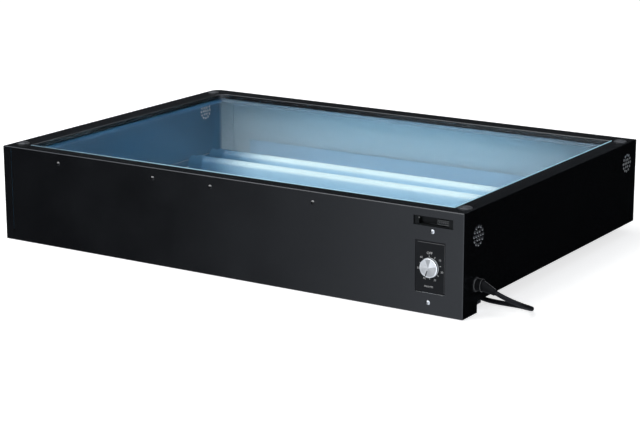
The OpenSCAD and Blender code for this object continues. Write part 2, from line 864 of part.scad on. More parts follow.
// Wires: from the lead to the terminals and on to the timer, from the timer to the front
// ballast, from ballast to ballast, and under the reflector to the lamp holders
module internal_wiring() {
    near = 0.4;
    pull = 8;
    movement_r = timer_mid_x + movement_w / 2;
    movement_b = front + sheet_t + strap_t + movement_d;
    ballast_l_x = ballast_mid_x - ballast_w / 2;
    loom_end_z = pan_top + ballast_h - loom_drop;
    color([0.80, 0.82, 0.85]) {
        for (i = [-1 : 1])
            wire([relief_inner - near, front + relief_y + i * 3, relief_z], [-pull, 0, 0],
                [block_x + block_w * 0.12, block_y + i * block_d * 0.4, block_top + near],
                [0, 0, pull], lead_wire_d);
        wire([block_x - block_w * 0.3, block_y - block_d * 0.4, block_top + near],
            [0, 0, pull], [movement_r + near, block_y - 4, timer_z], [pull, 0, 0], lead_wire_d);
        translate([ballast_mid_x, movement_b + near, loom_z]) rotate([-90, 0, 0])
            cylinder(d = loom_d, h = box_b - movement_b - near, $fn = 24);
        wire([ballast_mid_x, box_b - 0.5, loom_z], [0, pull, 0],
            [ballast_mid_x, ballast_y0 + tab_l - near, loom_end_z], [0, -pull, 0], loom_d);
        translate([ballast_mid_x, ballast_y0 + ballast_l - tab_l + near, loom_end_z])
            rotate([-90, 0, 0])
                cylinder(d = loom_d, h = ballast_space + 2 * (tab_l - near), $fn = 24);
        translate([-holder_mid_x, wire_y, wire_z]) rotate([0, 90, 0])
            cylinder(d = loom_d, h = ballast_l_x - near + holder_mid_x, $fn = 24);
        for (x = [-holder_mid_x, holder_mid_x])
            translate([x, lamp_y(1), wire_z]) rotate([-90, 0, 0])
                cylinder(d = loom_d, h = lamp_y(lamp_count) - lamp_y(1), $fn = 24);
        holder_places() translate([0, 0, wire_z])
            cylinder(d = holder_wire_d, h = reflector_z - near - wire_z, $fn = 24);
    }
}

// Timer axis, with Z turned to the back from a given Y
module timer_axis(y) {
    translate([timer_mid_x, y, timer_z]) rotate([-90, 0, 0]) children();
}

// Clockwork movement behind its strap, with the bushing that the shaft runs in
module timer_movement() {
    y0 = front + sheet_t + strap_t;
    color([0.15, 0.15, 0.16]) difference() {
        union() {
            block(timer_mid_x - movement_w / 2, y0, timer_z - movement_h / 2,
                timer_mid_x + movement_w / 2, y0 + movement_d, timer_z + movement_h / 2);
            timer_axis(front + sheet_t) cylinder(d = bushing_d, h = strap_t + cut);
        }
        timer_axis(front) cylinder(d = shaft_bore, h = shaft_end - front + 0.5);
    }
}

module timer_strap() {
    y0 = front + sheet_t;
    color(zinc) difference() {
        block(timer_mid_x - strap_w / 2, y0, timer_low_z - strap_end,
            timer_mid_x + strap_w / 2, y0 + strap_t, timer_high_z + strap_end);
        timer_axis(y0 - cut) cylinder(d = bushing_d + 0.4, h = strap_t + 2 * cut);
        timer_screw_holes(y0 - cut, strap_t + 2 * cut);
    }
}

module timer_dial() {
    color(black_plastic) difference() {
        block(timer_mid_x - dial_w / 2, dial_face, timer_z - dial_h / 2,
            timer_mid_x + dial_w / 2, dial_face + dial_t, timer_z + dial_h / 2);
        timer_axis(dial_face - cut) cylinder(d = shaft_d + 1, h = dial_t + 2 * cut);
    }
}

// Printed marks round the knob: a wide one for off, one for each number, and small ones
module dial_marks() {
    color("white") timer_axis(dial_face - mark_t) {
        dial_mark(0, 5, 1.6);
        for (i = [1 : mark_count]) dial_mark(i * mark_step, 2.6, 1.6);
        for (i = [1 : mark_count]) dial_mark((i - 0.5) * mark_step, 0.6, 1.2);
    }
}

// One mark at an angle from the top, clockwise as seen from the front
module dial_mark(turn, w, h) {
    rotate([0, 0, turn]) translate([-w / 2, -mark_ring - h / 2, 0]) cube([w, h, mark_t]);
}

module timer_shaft() {
    y0 = knob_back - knob_h + knob_cap;
    color(zinc) timer_axis(y0) cylinder(d = shaft_d, h = shaft_end - y0);
}

// Knob with a skirt, a tapered grip and a pointer groove across its face
module timer_knob() {
    grip_d = knob_d - 0.6;
    face_d = knob_d - 1.2;
    bevel = 0.5;
    groove_w = 1.2;
    groove_deep = 0.7;
    color([0.80, 0.80, 0.81]) timer_axis(knob_back) mirror([0, 0, 1]) difference() {
        union() {
            cylinder(d = knob_d, h = knob_skirt, $fn = 96);
            translate([0, 0, knob_skirt])
                cylinder(d1 = grip_d, d2 = face_d, h = knob_h - knob_skirt - bevel, $fn = 96);
            translate([0, 0, knob_h - bevel])
                cylinder(d1 = face_d, d2 = face_d - 2 * bevel, h = bevel, $fn = 96);
        }
        translate([0, 0, -cut]) cylinder(d = shaft_bore, h = knob_h - knob_cap + cut);
        rotate([0, 0, pointer_angle]) translate([-groove_w / 2, -knob_d, knob_h - groove_deep])
            cube([groove_w, knob_d - 3, groove_deep + cut]);
    }
}

// Silver screws that hold the timer's strap to the front panel
module timer_screws() {
    past = 2;
    color([0.85, 0.85, 0.86]) for (spot = timer_screw_spots)
        translate([spot[0], front, spot[1]]) rotate([90, 0, 0])
            round_screw(timer_head_d, screw_head_h, sheet_t + strap_t + past);
}

module counter_bezel() {
    x0 = slot_mid_x - slot_w / 2 + slot_play;
    x1 = slot_mid_x + slot_w / 2 - slot_play;
    z0 = slot_z - slot_h / 2 + slot_play;
    z1 = slot_z + slot_h / 2 - slot_play;
    color(black_plastic) difference() {
        block(x0, front + bezel_drop, z0, x1, front + sheet_t, z1);
        block(x0 + bezel_wall, front, z0 + bezel_wall, x1 - bezel_wall, front + 2 * sheet_t,
            z1 - bezel_wall);
    }
}

// Small framed display at the right-hand end of the slot
module counter_display() {
    x1 = slot_mid_x + slot_w / 2 - slot_play - bezel_wall - 1;
    h = slot_h - 2 * slot_play - 2 * bezel_wall - 0.6;
    color([0.30, 0.31, 0.32]) block(x1 - display_w, front + bezel_drop, slot_z - h / 2, x1,
        front + sheet_t, slot_z + h / 2);
}

module counter_case() {
    half_h = slot_h / 2 + bezel_wall;
    color(black_plastic) block(counter_l, front + sheet_t, slot_z - half_h,
        slot_mid_x + slot_w / 2 + counter_wall, counter_back, slot_z + half_h);
}

// Black screws of the front and the rear panel, through the panel and its ledge
module panel_screws() {
    past = 1;
    length = sheet_t + ledge_t + nut_t + past;
    color(black_plastic) for (x = panel_screw_x) {
        translate([x, front, screw_z]) rotate([90, 0, 0])
            round_screw(screw_head_d, screw_head_h, length);
        translate([x, back, screw_z]) rotate([-90, 0, 0])
            round_screw(screw_head_d, screw_head_h, length);
    }
}

module panel_nuts() {
    reach = sheet_t + ledge_t;
    color(zinc) for (x = panel_screw_x) for (y = [front + reach, back - reach - nut_t])
        translate([x, y, screw_z]) rotate([-90, 0, 0]) hex_nut(nut_w, screw_d, nut_t);
}

// Hexagon nut of width w across its flats
module hex_nut(w, bore, t) {
    difference() {
        cylinder(d = w / cos(30), h = t, $fn = 6);
        translate([0, 0, -cut]) cylinder(d = bore + 2 * thread_play, h = t + 2 * cut, $fn = 32);
    }
}

module dome_plugs() {
    color(black_plastic) plug_places() {
        dome(plug_dome_d, plug_dome_h);
        translate([0, 0, -plug_stem_l])
            cylinder(d = plug_hole_d - 0.4, h = plug_stem_l + plug_dome_h * 0.4);
    }
}

// Rubber foot with a counterbore for its screw
module foot() {
    color(black_plastic) difference() {
        cylinder(d1 = foot_floor_d, d2 = foot_d, h = side_lift);
        translate([0, 0, -cut]) cylinder(d = foot_head_d + 2, h = foot_seat_z + cut);
        cylinder(d = foot_screw_d + 2 * screw_play, h = side_lift + cut, $fn = 24);
    }
}

module foot_front_left() translate([-foot_mid_x, -foot_mid_y, 0]) foot();
module foot_front_right() translate([foot_mid_x, -foot_mid_y, 0]) foot();
module foot_rear_left() translate([-foot_mid_x, foot_mid_y, 0]) foot();
module foot_rear_right() translate([foot_mid_x, foot_mid_y, 0]) foot();

// One screw for each foot, with its nut on the pan
module foot_screws() {
    color(zinc) foot_places() {
        translate([0, 0, foot_seat_z - foot_head_h]) cylinder(d = foot_head_d, h = foot_head_h);
        translate([0, 0, foot_seat_z - 0.1])
            cylinder(d = foot_screw_d, h = pan_top - foot_seat_z + foot_nut_t + 1, $fn = 24);
        translate([0, 0, pan_top]) cylinder(d = foot_nut_w / cos(30), h = foot_nut_t, $fn = 6);
    }
}

// Moulded bushing: flange, body and a tapered sleeve that droops with the lead
module strain_relief() {
    at = [right, front + relief_y, relief_z];
    rim = 1.6;
    color(black_plastic) {
        translate([relief_inner, at[1], at[2]]) rotate([0, 90, 0])
            cylinder(d = relief_body_d, h = right + relief_body_l - relief_inner);
        translate(at) rotate([0, 90, 0]) cylinder(d = relief_flange_d, h = relief_flange_t);
        translate(at + [relief_body_l - 2 * rim, 0, 0]) rotate([0, 90, 0])
            cylinder(d = relief_body_d + 1.2, h = rim);
        translate(at + [relief_body_l - sleeve_in, 0, 0]) rotate([0, 90 + sleeve_droop, 0])
            cylinder(d1 = relief_body_d - 2, d2 = cord_d + 2, h = sleeve_l);
    }
}

module relief_nut() {
    color(black_plastic) translate([box_r - box_t - relief_nut_t, front + relief_y, relief_z])
        rotate([0, 90, 0]) rotate([0, 0, 30])
            hex_nut(relief_nut_w, relief_body_d, relief_nut_t);
}

function unit(v) = v / norm(v);
// Direction in which a path runs at point i
function path_dir(p, i) =
    i == 0 ? unit(p[1] - p[0]) :
    i == len(p) - 1 ? unit(p[i] - p[i - 1]) :
    unit(unit(p[i] - p[i - 1]) + unit(p[i + 1] - p[i]));
// The part of a vector that is square to a direction
function square_to(v, d) = unit(v - (v * d) * d);
function first_side(d) = square_to(abs(d[2]) < 0.9 ? [0, 0, -1] : [1, 0, 0], d);
// One side vector for each point, carried along the path without a twist
function path_sides(p) = [
    for (i = 0, s = first_side(path_dir(p, 0)); i < len(p);
        i = i + 1, s = i < len(p) ? square_to(s, path_dir(p, i)) : s) s
];

// Round tube along a path, with one ring of points at each point of the path
module tube(path, d, sides) {
    across = path_sides(path);
    rings = [for (i = [0 : len(path) - 1])
        let (u = across[i], v = cross(path_dir(path, i), u))
            for (k = [0 : sides - 1])
                path[i] + d / 2 * (cos(360 * k / sides) * u + sin(360 * k / sides) * v)];
    last = (len(path) - 1) * sides;
    walls = [for (i = [0 : len(path) - 2]) for (k = [0 : sides - 1])
        let (a = i * sides + k, b = i * sides + (k + 1) % sides)
            each [[a, a + sides, b + sides], [a, b + sides, b]]];
    start = [for (k = [1 : sides - 2]) [0, k, k + 1]];
    end = [for (k = [1 : sides - 2]) [last, last + k + 1, last + k]];
    polyhedron(points = rings, faces = concat(walls, start, end));
}

// The lead's way: out of the sleeve, down to the floor, under the raised edge on the right,
// below the pan and straight back to the coil behind the case
sleeve_dir = [cos(sleeve_droop), 0, -sin(sleeve_droop)];
cord_start = [right + relief_body_l - sleeve_in, front + relief_y, relief_z]
    + sleeve_l * sleeve_dir;
cord_route = [
    cord_start,
    [417.3, -233, 30.9], [425, -231.9, 27.9], [432.1, -228.7, 24.5], [438, -223.5, 20.9],
    [442.2, -217, 17.3], [444.4, -209.5, 13.9], [444.4, -201.7, 10.6], [442.2, -194.2, 7.8],
    [438, -187.7, 5.6], [432.1, -182.5, 4], [425, -179.3, 3.3], [417.3, -178.2, 3.3],
    [401, -178.2, 3.3], [385, -178.2, 3.3], [369.5, -176.2, 3.3], [355, -170.2, 3.3],
    [342.6, -160.6, 3.3], [315.5, -133.5, 3.3], [288.4, -106.4, 3.3], [274.1, -87.8, 3.3],
    [265.1, -66.1, 3.3], [262, -42.8, 3.3], [262, 17.7, 3.3], [262, 78.2, 3.3],
    [262, 138.6, 3.3], [262, 199.1, 3.3], [262, 259.5, 3.3], [262, 320, 3.3]
];

module power_cord() {
    color(black_plastic) tube(cord_route, cord_d, 8);
}

// The coil: its turns spiral inwards on the floor, climb a layer in the half turn where the
// spiral reverses and spiral outwards again. Both ends run straight, the last to the plug.
coil_total = 4.75;
coil_steps = 24;
coil_straight = 8;
coil_lead = 52;
coil_out_r = coil_in_r + coil_total / 2 * coil_pitch;
cord_end = cord_route[len(cord_route) - 1];
coil_mid = cord_end + [-coil_out_r, coil_straight, 0];
// Radius and height after t turns
function coil_radius(t) = coil_in_r + coil_pitch * abs(t - coil_total / 2);
function coil_height(t) =
    coil_pitch * (1 - cos(180 * min(1, max(0, 2 * (t - coil_total / 2) + 0.5)))) / 2;
function coil_point(t) = coil_mid
    + [coil_radius(t) * cos(360 * t), coil_radius(t) * sin(360 * t), coil_height(t)];
coil_path = [
    cord_end,
    for (i = [0 : coil_total * coil_steps]) coil_point(i / coil_steps),
    for (s = [1 / 3, 2 / 3, 1]) coil_point(coil_total) + [coil_lead * s, 0, 0]
];
plug_at = coil_path[len(coil_path) - 1];
// Least gap between stretches of the coil that lie over half a turn apart
coil_gap = min([for (i = [0 : len(coil_path) - 1])
    for (k = [i + coil_steps / 2 : 1 : len(coil_path) - 1])
        norm(coil_path[i] - coil_path[k])]) - cord_d;
echo(coil_gap = coil_gap);

module cord_coil() {
    color(black_plastic) tube(coil_path, cord_d, 6);
}

// Moulded plug that lies beside the coil, its sleeve towards the lead
module plug_body() {
    translate(plug_at) color(black_plastic) {
        rotate([0, 90, 0]) cylinder(d1 = cord_d + 2, d2 = plug_sleeve_d, h = plug_sleeve_l);
        translate([plug_sleeve_l, 0, 0]) rotate([90, 0, 90]) linear_extrude(plug_l)
            rounded_rectangle(plug_w, 2 * plug_at[2], plug_corner_r);
    }
}

// Rectangle with round corners about the origin
module rounded_rectangle(w, h, r) {
    square([w - 2 * r, h], center = true);
    square([w, h - 2 * r], center = true);
    for (x = [-1, 1]) for (y = [-1, 1])
        translate([x * (w / 2 - r), y * (h / 2 - r)]) circle(r);
}

// Middle of the plug's front face, at the height of the blades
plug_face = plug_at + [plug_sleeve_l + plug_l, 0, blade_rise];

// Two flat blades at the usual spacing, side by side
module plug_blades() {
    color([0.85, 0.75, 0.45]) for (s = [-1, 1])
        translate(plug_face + [0, s * blade_gap / 2 - blade_t / 2, -blade_h / 2])
            cube([blade_l, blade_t, blade_h]);
}

module plug_earth_pin() {
    tip = 1.2;
    color([0.85, 0.75, 0.45]) translate(plug_face - [0, 0, earth_drop]) rotate([0, 90, 0]) {
        cylinder(d = earth_d, h = earth_l - tip, $fn = 32);
        translate([0, 0, earth_l - tip])
            cylinder(d1 = earth_d, d2 = earth_d - 2 * tip, h = tip, $fn = 32);
    }
}

front_panel();
left_end_panel();
right_end_panel();
rear_panel();
top_frame();
base_pan();
ledge_front();
ledge_rear();
ledge_left();
ledge_right();
glass_seals();
glass();
reflector();
for (i = [1 : lamp_count])
    lamp_tube(i);
lamp_caps();
lamp_holders_left();
lamp_holders_right();
ballast_front();
ballast_rear();
ballast_screws();
control_box();
terminal_block();
internal_wiring();
timer_movement();
timer_strap();
timer_dial();
dial_marks();
timer_shaft();
timer_knob();
timer_screws();
counter_bezel();
counter_display();
counter_case();
panel_screws();
panel_nuts();
dome_plugs();
foot_front_left();
foot_front_right();
foot_rear_left();
foot_rear_right();
foot_screws();
strain_relief();
relief_nut();
power_cord();
cord_coil();
plug_body();
plug_blades();
plug_earth_pin();
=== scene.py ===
# The exposure unit as it is put together: a low steel light box with a sunken glass top,
# ultraviolet tubes over a white reflector, a wind-up timer, a counter and a mains lead.
import math

import bmesh
import bpy
from mathutils import Matrix, Vector


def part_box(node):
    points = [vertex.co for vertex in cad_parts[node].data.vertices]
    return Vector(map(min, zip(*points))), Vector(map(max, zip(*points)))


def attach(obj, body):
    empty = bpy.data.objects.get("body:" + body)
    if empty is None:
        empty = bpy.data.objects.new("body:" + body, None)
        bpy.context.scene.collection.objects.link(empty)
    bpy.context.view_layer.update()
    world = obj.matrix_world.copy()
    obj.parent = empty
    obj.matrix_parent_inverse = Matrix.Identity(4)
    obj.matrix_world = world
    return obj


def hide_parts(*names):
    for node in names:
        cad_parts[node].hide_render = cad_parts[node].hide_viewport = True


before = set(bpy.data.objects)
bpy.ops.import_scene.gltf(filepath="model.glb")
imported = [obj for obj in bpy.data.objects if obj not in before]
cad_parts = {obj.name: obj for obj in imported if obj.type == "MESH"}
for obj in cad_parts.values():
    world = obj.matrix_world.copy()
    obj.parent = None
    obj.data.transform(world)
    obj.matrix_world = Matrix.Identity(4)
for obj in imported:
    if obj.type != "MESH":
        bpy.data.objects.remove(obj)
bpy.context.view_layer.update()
bpy.context.scene.view_settings.view_transform = "Standard"

# Camera
# It stands where the photograph was taken from, in front of the unit and to its right, and
# looks down a little through a long lens.
camera_place = Vector((1.4844, -2.3259, 0.7296))
camera_turn = math.radians(32.606)
camera_tilt = math.radians(14.180)
camera_roll = math.radians(-0.0725)
bpy.ops.object.select_all(action="DESELECT")
bpy.ops.object.camera_add()
camera = bpy.context.object
camera.name = "photo_camera"
camera.data.lens = 108.2
camera.data.sensor_width = 36
camera.matrix_world = (
    Matrix.Translation(camera_place)
    @ Matrix.Rotation(camera_turn, 4, "Z")
    @ Matrix.Rotation(math.pi / 2 - camera_tilt, 4, "X")
    @ Matrix.Rotation(camera_roll, 4, "Z")
)
bpy.context.scene.camera = camera

# Mains lead
# Black flexible lead of 1.8 m: it droops out of the strain relief to the floor, runs under the
# raised edge and below the pan, and its spare length is coiled behind the case.
lead_diameter = 0.0064
lead_rest = 0.0033
lead_start = Vector((0.409794, -0.233, 0.033660))
loop_beside_case = (
    (0.4173, -0.2330, 0.0309), (0.4250, -0.2319, 0.0279), (0.4321, -0.2287, 0.0245),
    (0.4380, -0.2235, 0.0209), (0.4422, -0.2170, 0.0173), (0.4444, -0.2095, 0.0139),
    (0.4444, -0.2017, 0.0106), (0.4422, -0.1942, 0.0078), (0.4380, -0.1877, 0.0056),
    (0.4321, -0.1825, 0.0040),
)
run_below_case = (
    (0.4250, -0.1793), (0.4173, -0.1782), (0.4010, -0.1782), (0.3850, -0.1782),
    (0.3695, -0.1762), (0.3550, -0.1702), (0.3426, -0.1606), (0.3155, -0.1335),
    (0.2884, -0.1064), (0.2741, -0.0878), (0.2651, -0.0661), (0.2620, -0.0428),
    (0.2620, 0.0177), (0.2620, 0.0782), (0.2620, 0.1386), (0.2620, 0.1991),
    (0.2620, 0.2595), (0.2620, 0.3200),
)
lead_way = [lead_start] + [Vector(place) for place in loop_beside_case]
lead_way += [Vector((x, y, lead_rest)) for x, y in run_below_case]
coil_turns = 4.75
coil_steps = 24
coil_inner = 0.028
coil_pitch = 0.007
coil_straight = 0.008
plug_straight = 0.052
coil_outer = coil_inner + coil_turns / 2 * coil_pitch
coil_middle = lead_way[-1] + Vector((-coil_outer, coil_straight, 0))


def coil_point(turns):
    """Point of the coil: in on the floor, up a layer where the spiral reverses, and out again"""
    past = turns - coil_turns / 2
    climb = min(1, max(0, 2 * past + 0.5))
    radius = coil_inner + coil_pitch * abs(past)
    height = coil_pitch * (1 - math.cos(math.pi * climb)) / 2
    angle = 2 * math.pi * turns
    return coil_middle + Vector((radius * math.cos(angle), radius * math.sin(angle), height))


for step in range(int(coil_turns * coil_steps) + 1):
    lead_way.append(coil_point(step / coil_steps))
for step in (1, 2, 3):
    lead_way.append(coil_point(coil_turns) + Vector((plug_straight * step / 3, 0, 0)))

lead_line = bpy.data.curves.new("lead", "CURVE")
lead_line.dimensions = "3D"
lead_line.bevel_depth = lead_diameter / 2
lead_line.bevel_resolution = 5
lead_line.resolution_u = 5
lead_line.use_fill_caps = True
spline = lead_line.splines.new("BEZIER")
spline.bezier_points.add(len(lead_way) - 1)
for knot, place in zip(spline.bezier_points, lead_way):
    knot.co = place
    knot.handle_left_type = "AUTO"
    knot.handle_right_type = "AUTO"
lead = bpy.data.objects.new("lead", lead_line)
bpy.context.scene.collection.objects.link(lead)


def new_finish(name):
    """A new material: returns it, its node tree and its shader"""
    material = bpy.data.materials.new(name)
    material.use_nodes = True
    return material, material.node_tree, material.node_tree.nodes["Principled BSDF"]


def put(tree, kind, **settings):
    """A new node in a tree, with the given settings"""
    node = tree.nodes.new(kind)
    for key, value in settings.items():
        setattr(node, key, value)
    return node


def make_fine_grain():
    """Node group: the fine grain of a surface as a height, and slow patches over it"""
    tree = bpy.data.node_groups.new("fine_grain", "ShaderNodeTree")
    face = tree.interface
    for label, value in (("Grain per metre", 2000.0), ("Patches per metre", 60.0)):
        face.new_socket(label, in_out="INPUT", socket_type="NodeSocketFloat").default_value = value
    for label in ("Grain", "Patches"):
        face.new_socket(label, in_out="OUTPUT", socket_type="NodeSocketFloat")
    given = put(tree, "NodeGroupInput")
    result = put(tree, "NodeGroupOutput")
    place = put(tree, "ShaderNodeTexCoord")
    for index, detail in ((0, 2.0), (1, 4.0)):
        noise = put(tree, "ShaderNodeTexNoise")
        noise.inputs["Detail"].default_value = detail
        tree.links.new(place.outputs["Object"], noise.inputs["Vector"])
        tree.links.new(given.outputs[index], noise.inputs["Scale"])
        tree.links.new(noise.outputs["Fac"], result.inputs[index])
    return tree


fine_grain = make_fine_grain()


def add_grain(tree, shader, grains, patches, depth, rough_low, rough_high):
    """Grain in a material: bump from the fine grain, and roughness that drifts in patches.
    Returns the output that tells the patches apart, to tint the colour with."""
    group = put(tree, "ShaderNodeGroup", node_tree=fine_grain)
    group.inputs["Grain per metre"].default_value = grains
    group.inputs["Patches per metre"].default_value = patches
    bump = put(tree, "ShaderNodeBump")
    bump.inputs["Strength"].default_value = 1.0
    bump.inputs["Distance"].default_value = depth
    tree.links.new(group.outputs["Grain"], bump.inputs["Height"])
    tree.links.new(bump.outputs["Normal"], shader.inputs["Normal"])
    rough = put(tree, "ShaderNodeMapRange")
    rough.inputs["From Min"].default_value = 0.3
    rough.inputs["From Max"].default_value = 0.7
    rough.inputs["To Min"].default_value = rough_low
    rough.inputs["To Max"].default_value = rough_high
    tree.links.new(group.outputs["Patches"], rough.inputs["Value"])
    tree.links.new(rough.outputs["Result"], shader.inputs["Roughness"])
    return group.outputs["Patches"]


def blend_colours(tree, mask, low, high):
    """Mixes two colours by a mask, and returns the mixed colour's output"""
    mix = put(tree, "ShaderNodeMix", data_type="RGBA")
    for socket, colour in (("A", low), ("B", high)):
        target = next(s for s in mix.inputs if s.name == socket and s.type == "RGBA")
        if isinstance(colour, tuple):
            target.default_value = (*colour, 1)
        else:
            tree.links.new(colour, target)
    tree.links.new(mask, mix.inputs["Factor"])
    return next(s for s in mix.outputs if s.type == "RGBA")


def plain_finish(name, low, high, grains, patches, depth, rough, metal=0.0, gloss=0.5):
    """A finish of one kind all over: two near colours in patches, grain and roughness"""
    material, tree, shader = new_finish(name)
    tint = add_grain(tree, shader, grains, patches, depth, *rough)
    tree.links.new(blend_colours(tree, tint, low, high), shader.inputs["Base Color"])
    shader.inputs["Metallic"].default_value = metal
    shader.inputs["Specular IOR Level"].default_value = gloss
    return material


sheath = plain_finish("lead_sheath", (0.004, 0.004, 0.005), (0.008, 0.008, 0.009),
    1500, 90, 0.00004, (0.42, 0.6), gloss=0.08)
lead_line.materials.append(sheath)
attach(lead, "case")
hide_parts("power_cord", "cord_coil")

# Floor and studio
# A pale matt floor that turns white in the picture, a white surround, and two soft lamps, one
# in front of the unit and one above it.
floor_lift = 0.70


def number_node(tree, operation, *values):
    """A Math node on numbers or outputs: returns its output"""
    node = put(tree, "ShaderNodeMath", operation=operation)
    for socket, value in zip(node.inputs, values):
        if isinstance(value, (int, float)):
            socket.default_value = value
        else:
            tree.links.new(value, socket)
    return node.outputs[0]


bpy.ops.object.select_all(action="DESELECT")
bpy.ops.mesh.primitive_plane_add(size=30)
floor = bpy.context.object
floor.name = "floor"
floor.visible_glossy = False
paper, tree, shader = new_finish("floor_paper")
tree.nodes.remove(shader)
matt = put(tree, "ShaderNodeBsdfDiffuse")
matt.inputs["Color"].default_value = (0.80, 0.80, 0.80, 1)
glow = put(tree, "ShaderNodeEmission")
rays = put(tree, "ShaderNodeLightPath")
lift = number_node(tree, "MULTIPLY", rays.outputs["Is Camera Ray"], floor_lift)
tree.links.new(lift, glow.inputs["Strength"])
both = put(tree, "ShaderNodeAddShader")
tree.links.new(matt.outputs[0], both.inputs[0])
tree.links.new(glow.outputs[0], both.inputs[1])
tree.links.new(both.outputs[0], tree.nodes["Material Output"].inputs["Surface"])
floor.data.materials.append(paper)

world = bpy.data.worlds.new("studio")
bpy.context.scene.world = world
world.use_nodes = True
tree = world.node_tree
tree.nodes.remove(tree.nodes["Background"])
rays = put(tree, "ShaderNodeLightPath")


def light_node(colour, strength):
    """A light from all around in the studio: returns its node"""
    node = put(tree, "ShaderNodeBackground")
    node.inputs["Color"].default_value = (*colour, 1)
    if isinstance(strength, float):
        node.inputs["Strength"].default_value = strength
    else:
        tree.links.new(strength, node.inputs["Strength"])
    return node


def ramp_node(tree, value, start, end, low=0.0, high=1.0):
    """A smooth ramp of a value: low before start, high past end"""
    node = put(tree, "ShaderNodeMapRange", interpolation_type="SMOOTHSTEP")
    node.inputs["From Min"].default_value = start
    node.inputs["From Max"].default_value = end
    node.inputs["To Min"].default_value = low
    node.inputs["To Max"].default_value = high
    tree.links.new(value, node.inputs["Value"])
    return node.outputs["Result"]


# What glossy surfaces see: a white card in front of the unit from the left of its middle to the
# right, a brighter strip at its right, a soft ceiling, the pale floor, and a dim room behind.
# Card and strip begin and end at angles from straight ahead, in degrees to the right, and the
# ceiling and the ground at the height to which a line of sight of length 1 rises.
where = put(tree, "ShaderNodeTexCoord")
way = put(tree, "ShaderNodeSeparateXYZ")
tree.links.new(where.outputs["Generated"], way.inputs[0])
to_front = number_node(tree, "MULTIPLY", way.outputs["Y"], -1)
round_way = number_node(tree, "ARCTAN2", way.outputs["X"], to_front)


def upright_light(left_dark, left_full, right_full, right_dark, level):
    """A standing card or strip between two angles, with soft edges"""
    return number_node(tree, "MULTIPLY",
        ramp_node(tree, round_way, math.radians(left_dark), math.radians(left_full), 0.0, level),
        ramp_node(tree, round_way, math.radians(right_dark), math.radians(right_full)))


card = upright_light(-35.4, -28.4, 80, 105, 1.6)
strip = upright_light(44, 50, 70, 76, 2.2)
ceiling = number_node(tree, "MULTIPLY",
    ramp_node(tree, way.outputs["Z"], 0.52, 0.68, 0.0, 3.0),
    ramp_node(tree, way.outputs["Z"], 0.76, 0.90, 1.0, 0.15))
ground = ramp_node(tree, way.outputs["Z"], -0.50, -0.75, 0.0, 0.9)
level = ramp_node(tree, round_way, math.radians(60), math.radians(-60), 0.008, 0.03)
for light in (card, strip, ceiling, ground):
    level = number_node(tree, "ADD", level, light)
ambient = light_node((0.93, 0.96, 1.0), 0.30)
white = light_node((1, 1, 1), 1.0)
seen = light_node((0.88, 0.95, 1.06), level)
# The picture's white is for what the camera sees, straight or down through the glass. What the
# glass throws back upwards shows the dim room, and the walls get the plain ambient light.
unscattered = number_node(tree, "LESS_THAN", rays.outputs["Diffuse Depth"], 0.5)
through = number_node(tree, "MULTIPLY", rays.outputs["Is Transmission Ray"], unscattered)
mirrored = number_node(tree, "MAXIMUM", rays.outputs["Is Glossy Ray"], through)
downwards = number_node(tree, "LESS_THAN", way.outputs["Z"], 0.02)
through_down = number_node(tree, "MULTIPLY", through, downwards)
direct = number_node(tree, "MAXIMUM", rays.outputs["Is Camera Ray"], through_down)
glossy_or_not = put(tree, "ShaderNodeMixShader")
tree.links.new(mirrored, glossy_or_not.inputs[0])
tree.links.new(ambient.outputs[0], glossy_or_not.inputs[1])
tree.links.new(seen.outputs[0], glossy_or_not.inputs[2])
camera_or_not = put(tree, "ShaderNodeMixShader")
tree.links.new(direct, camera_or_not.inputs[0])
tree.links.new(glossy_or_not.outputs[0], camera_or_not.inputs[1])
tree.links.new(white.outputs[0], camera_or_not.inputs[2])
tree.links.new(camera_or_not.outputs[0], tree.nodes["World Output"].inputs["Surface"])


def soft_box(name, place, target, width, height, watts):
    """A flat studio lamp that faces a point"""
    bpy.ops.object.light_add(type="AREA", location=place)
    lamp = bpy.context.object
    lamp.name = name
    lamp.data.shape = "RECTANGLE"
    lamp.data.size = width
    lamp.data.size_y = height
    lamp.data.energy = watts
    back_from_target = Vector(place) - Vector(target)
    lamp.rotation_euler = back_from_target.to_track_quat("Z", "Y").to_euler()


soft_box("lamp_front", (-0.9, -2.5, 1.6), (0, 0, 0.1), 1.8, 1.0, 24)
soft_box("lamp_above", (-0.7, -0.5, 2.4), (0, 0, 0.1), 2.2, 1.6, 36)

# Case
# Folded sheet steel in satin black powder coat. The panels and the pan are enamelled inside, so
# that the tubes' light comes back off them: pale along the front and the back. On the two ends the
# inside is a dark blue painted shade over the dark coat. The top frame is black all over.
black_low = (0.0020, 0.0023, 0.0030)
black_high = (0.0030, 0.0034, 0.0044)
enamel_long = (0.82, 0.84, 0.84)
# Painted shade: the insides of the two ends are dark blue, where less of the tubes' light falls
painted_shade_ends = (0.072, 0.20, 0.32)
pan_floor = 0.0170
pan_edge = 0.030
vent_glint_top = 0.120


def dress(material, *names):
    """Gives carried-over pieces their finish"""
    for name in names:
        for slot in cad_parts[name].material_slots:
            slot.material = material


def split_vector(tree, vector):
    """The X, Y and Z of a vector, as outputs by those names"""
    split = put(tree, "ShaderNodeSeparateXYZ")
    tree.links.new(vector, split.inputs[0])
    return split.outputs


def piece_place(tree):
    """The output that gives the place on a piece"""
    return put(tree, "ShaderNodeTexCoord").outputs["Object"]


def face_way(tree):
    """The output that gives the way in which a face looks"""
    return put(tree, "ShaderNodeNewGeometry").outputs["True Normal"]


def vector_node(tree, operation, vector, other=None):
    """A Vector Math node on one vector, or on two: returns the output that it fills"""
    node = put(tree, "ShaderNodeVectorMath", operation=operation)
    tree.links.new(vector, node.inputs[0])
    if isinstance(other, tuple):
        node.inputs[1].default_value = other
    elif other is not None:
        tree.links.new(other, node.inputs[1])
    return node.outputs["Value" if operation in ("DOT_PRODUCT", "LENGTH") else "Vector"]


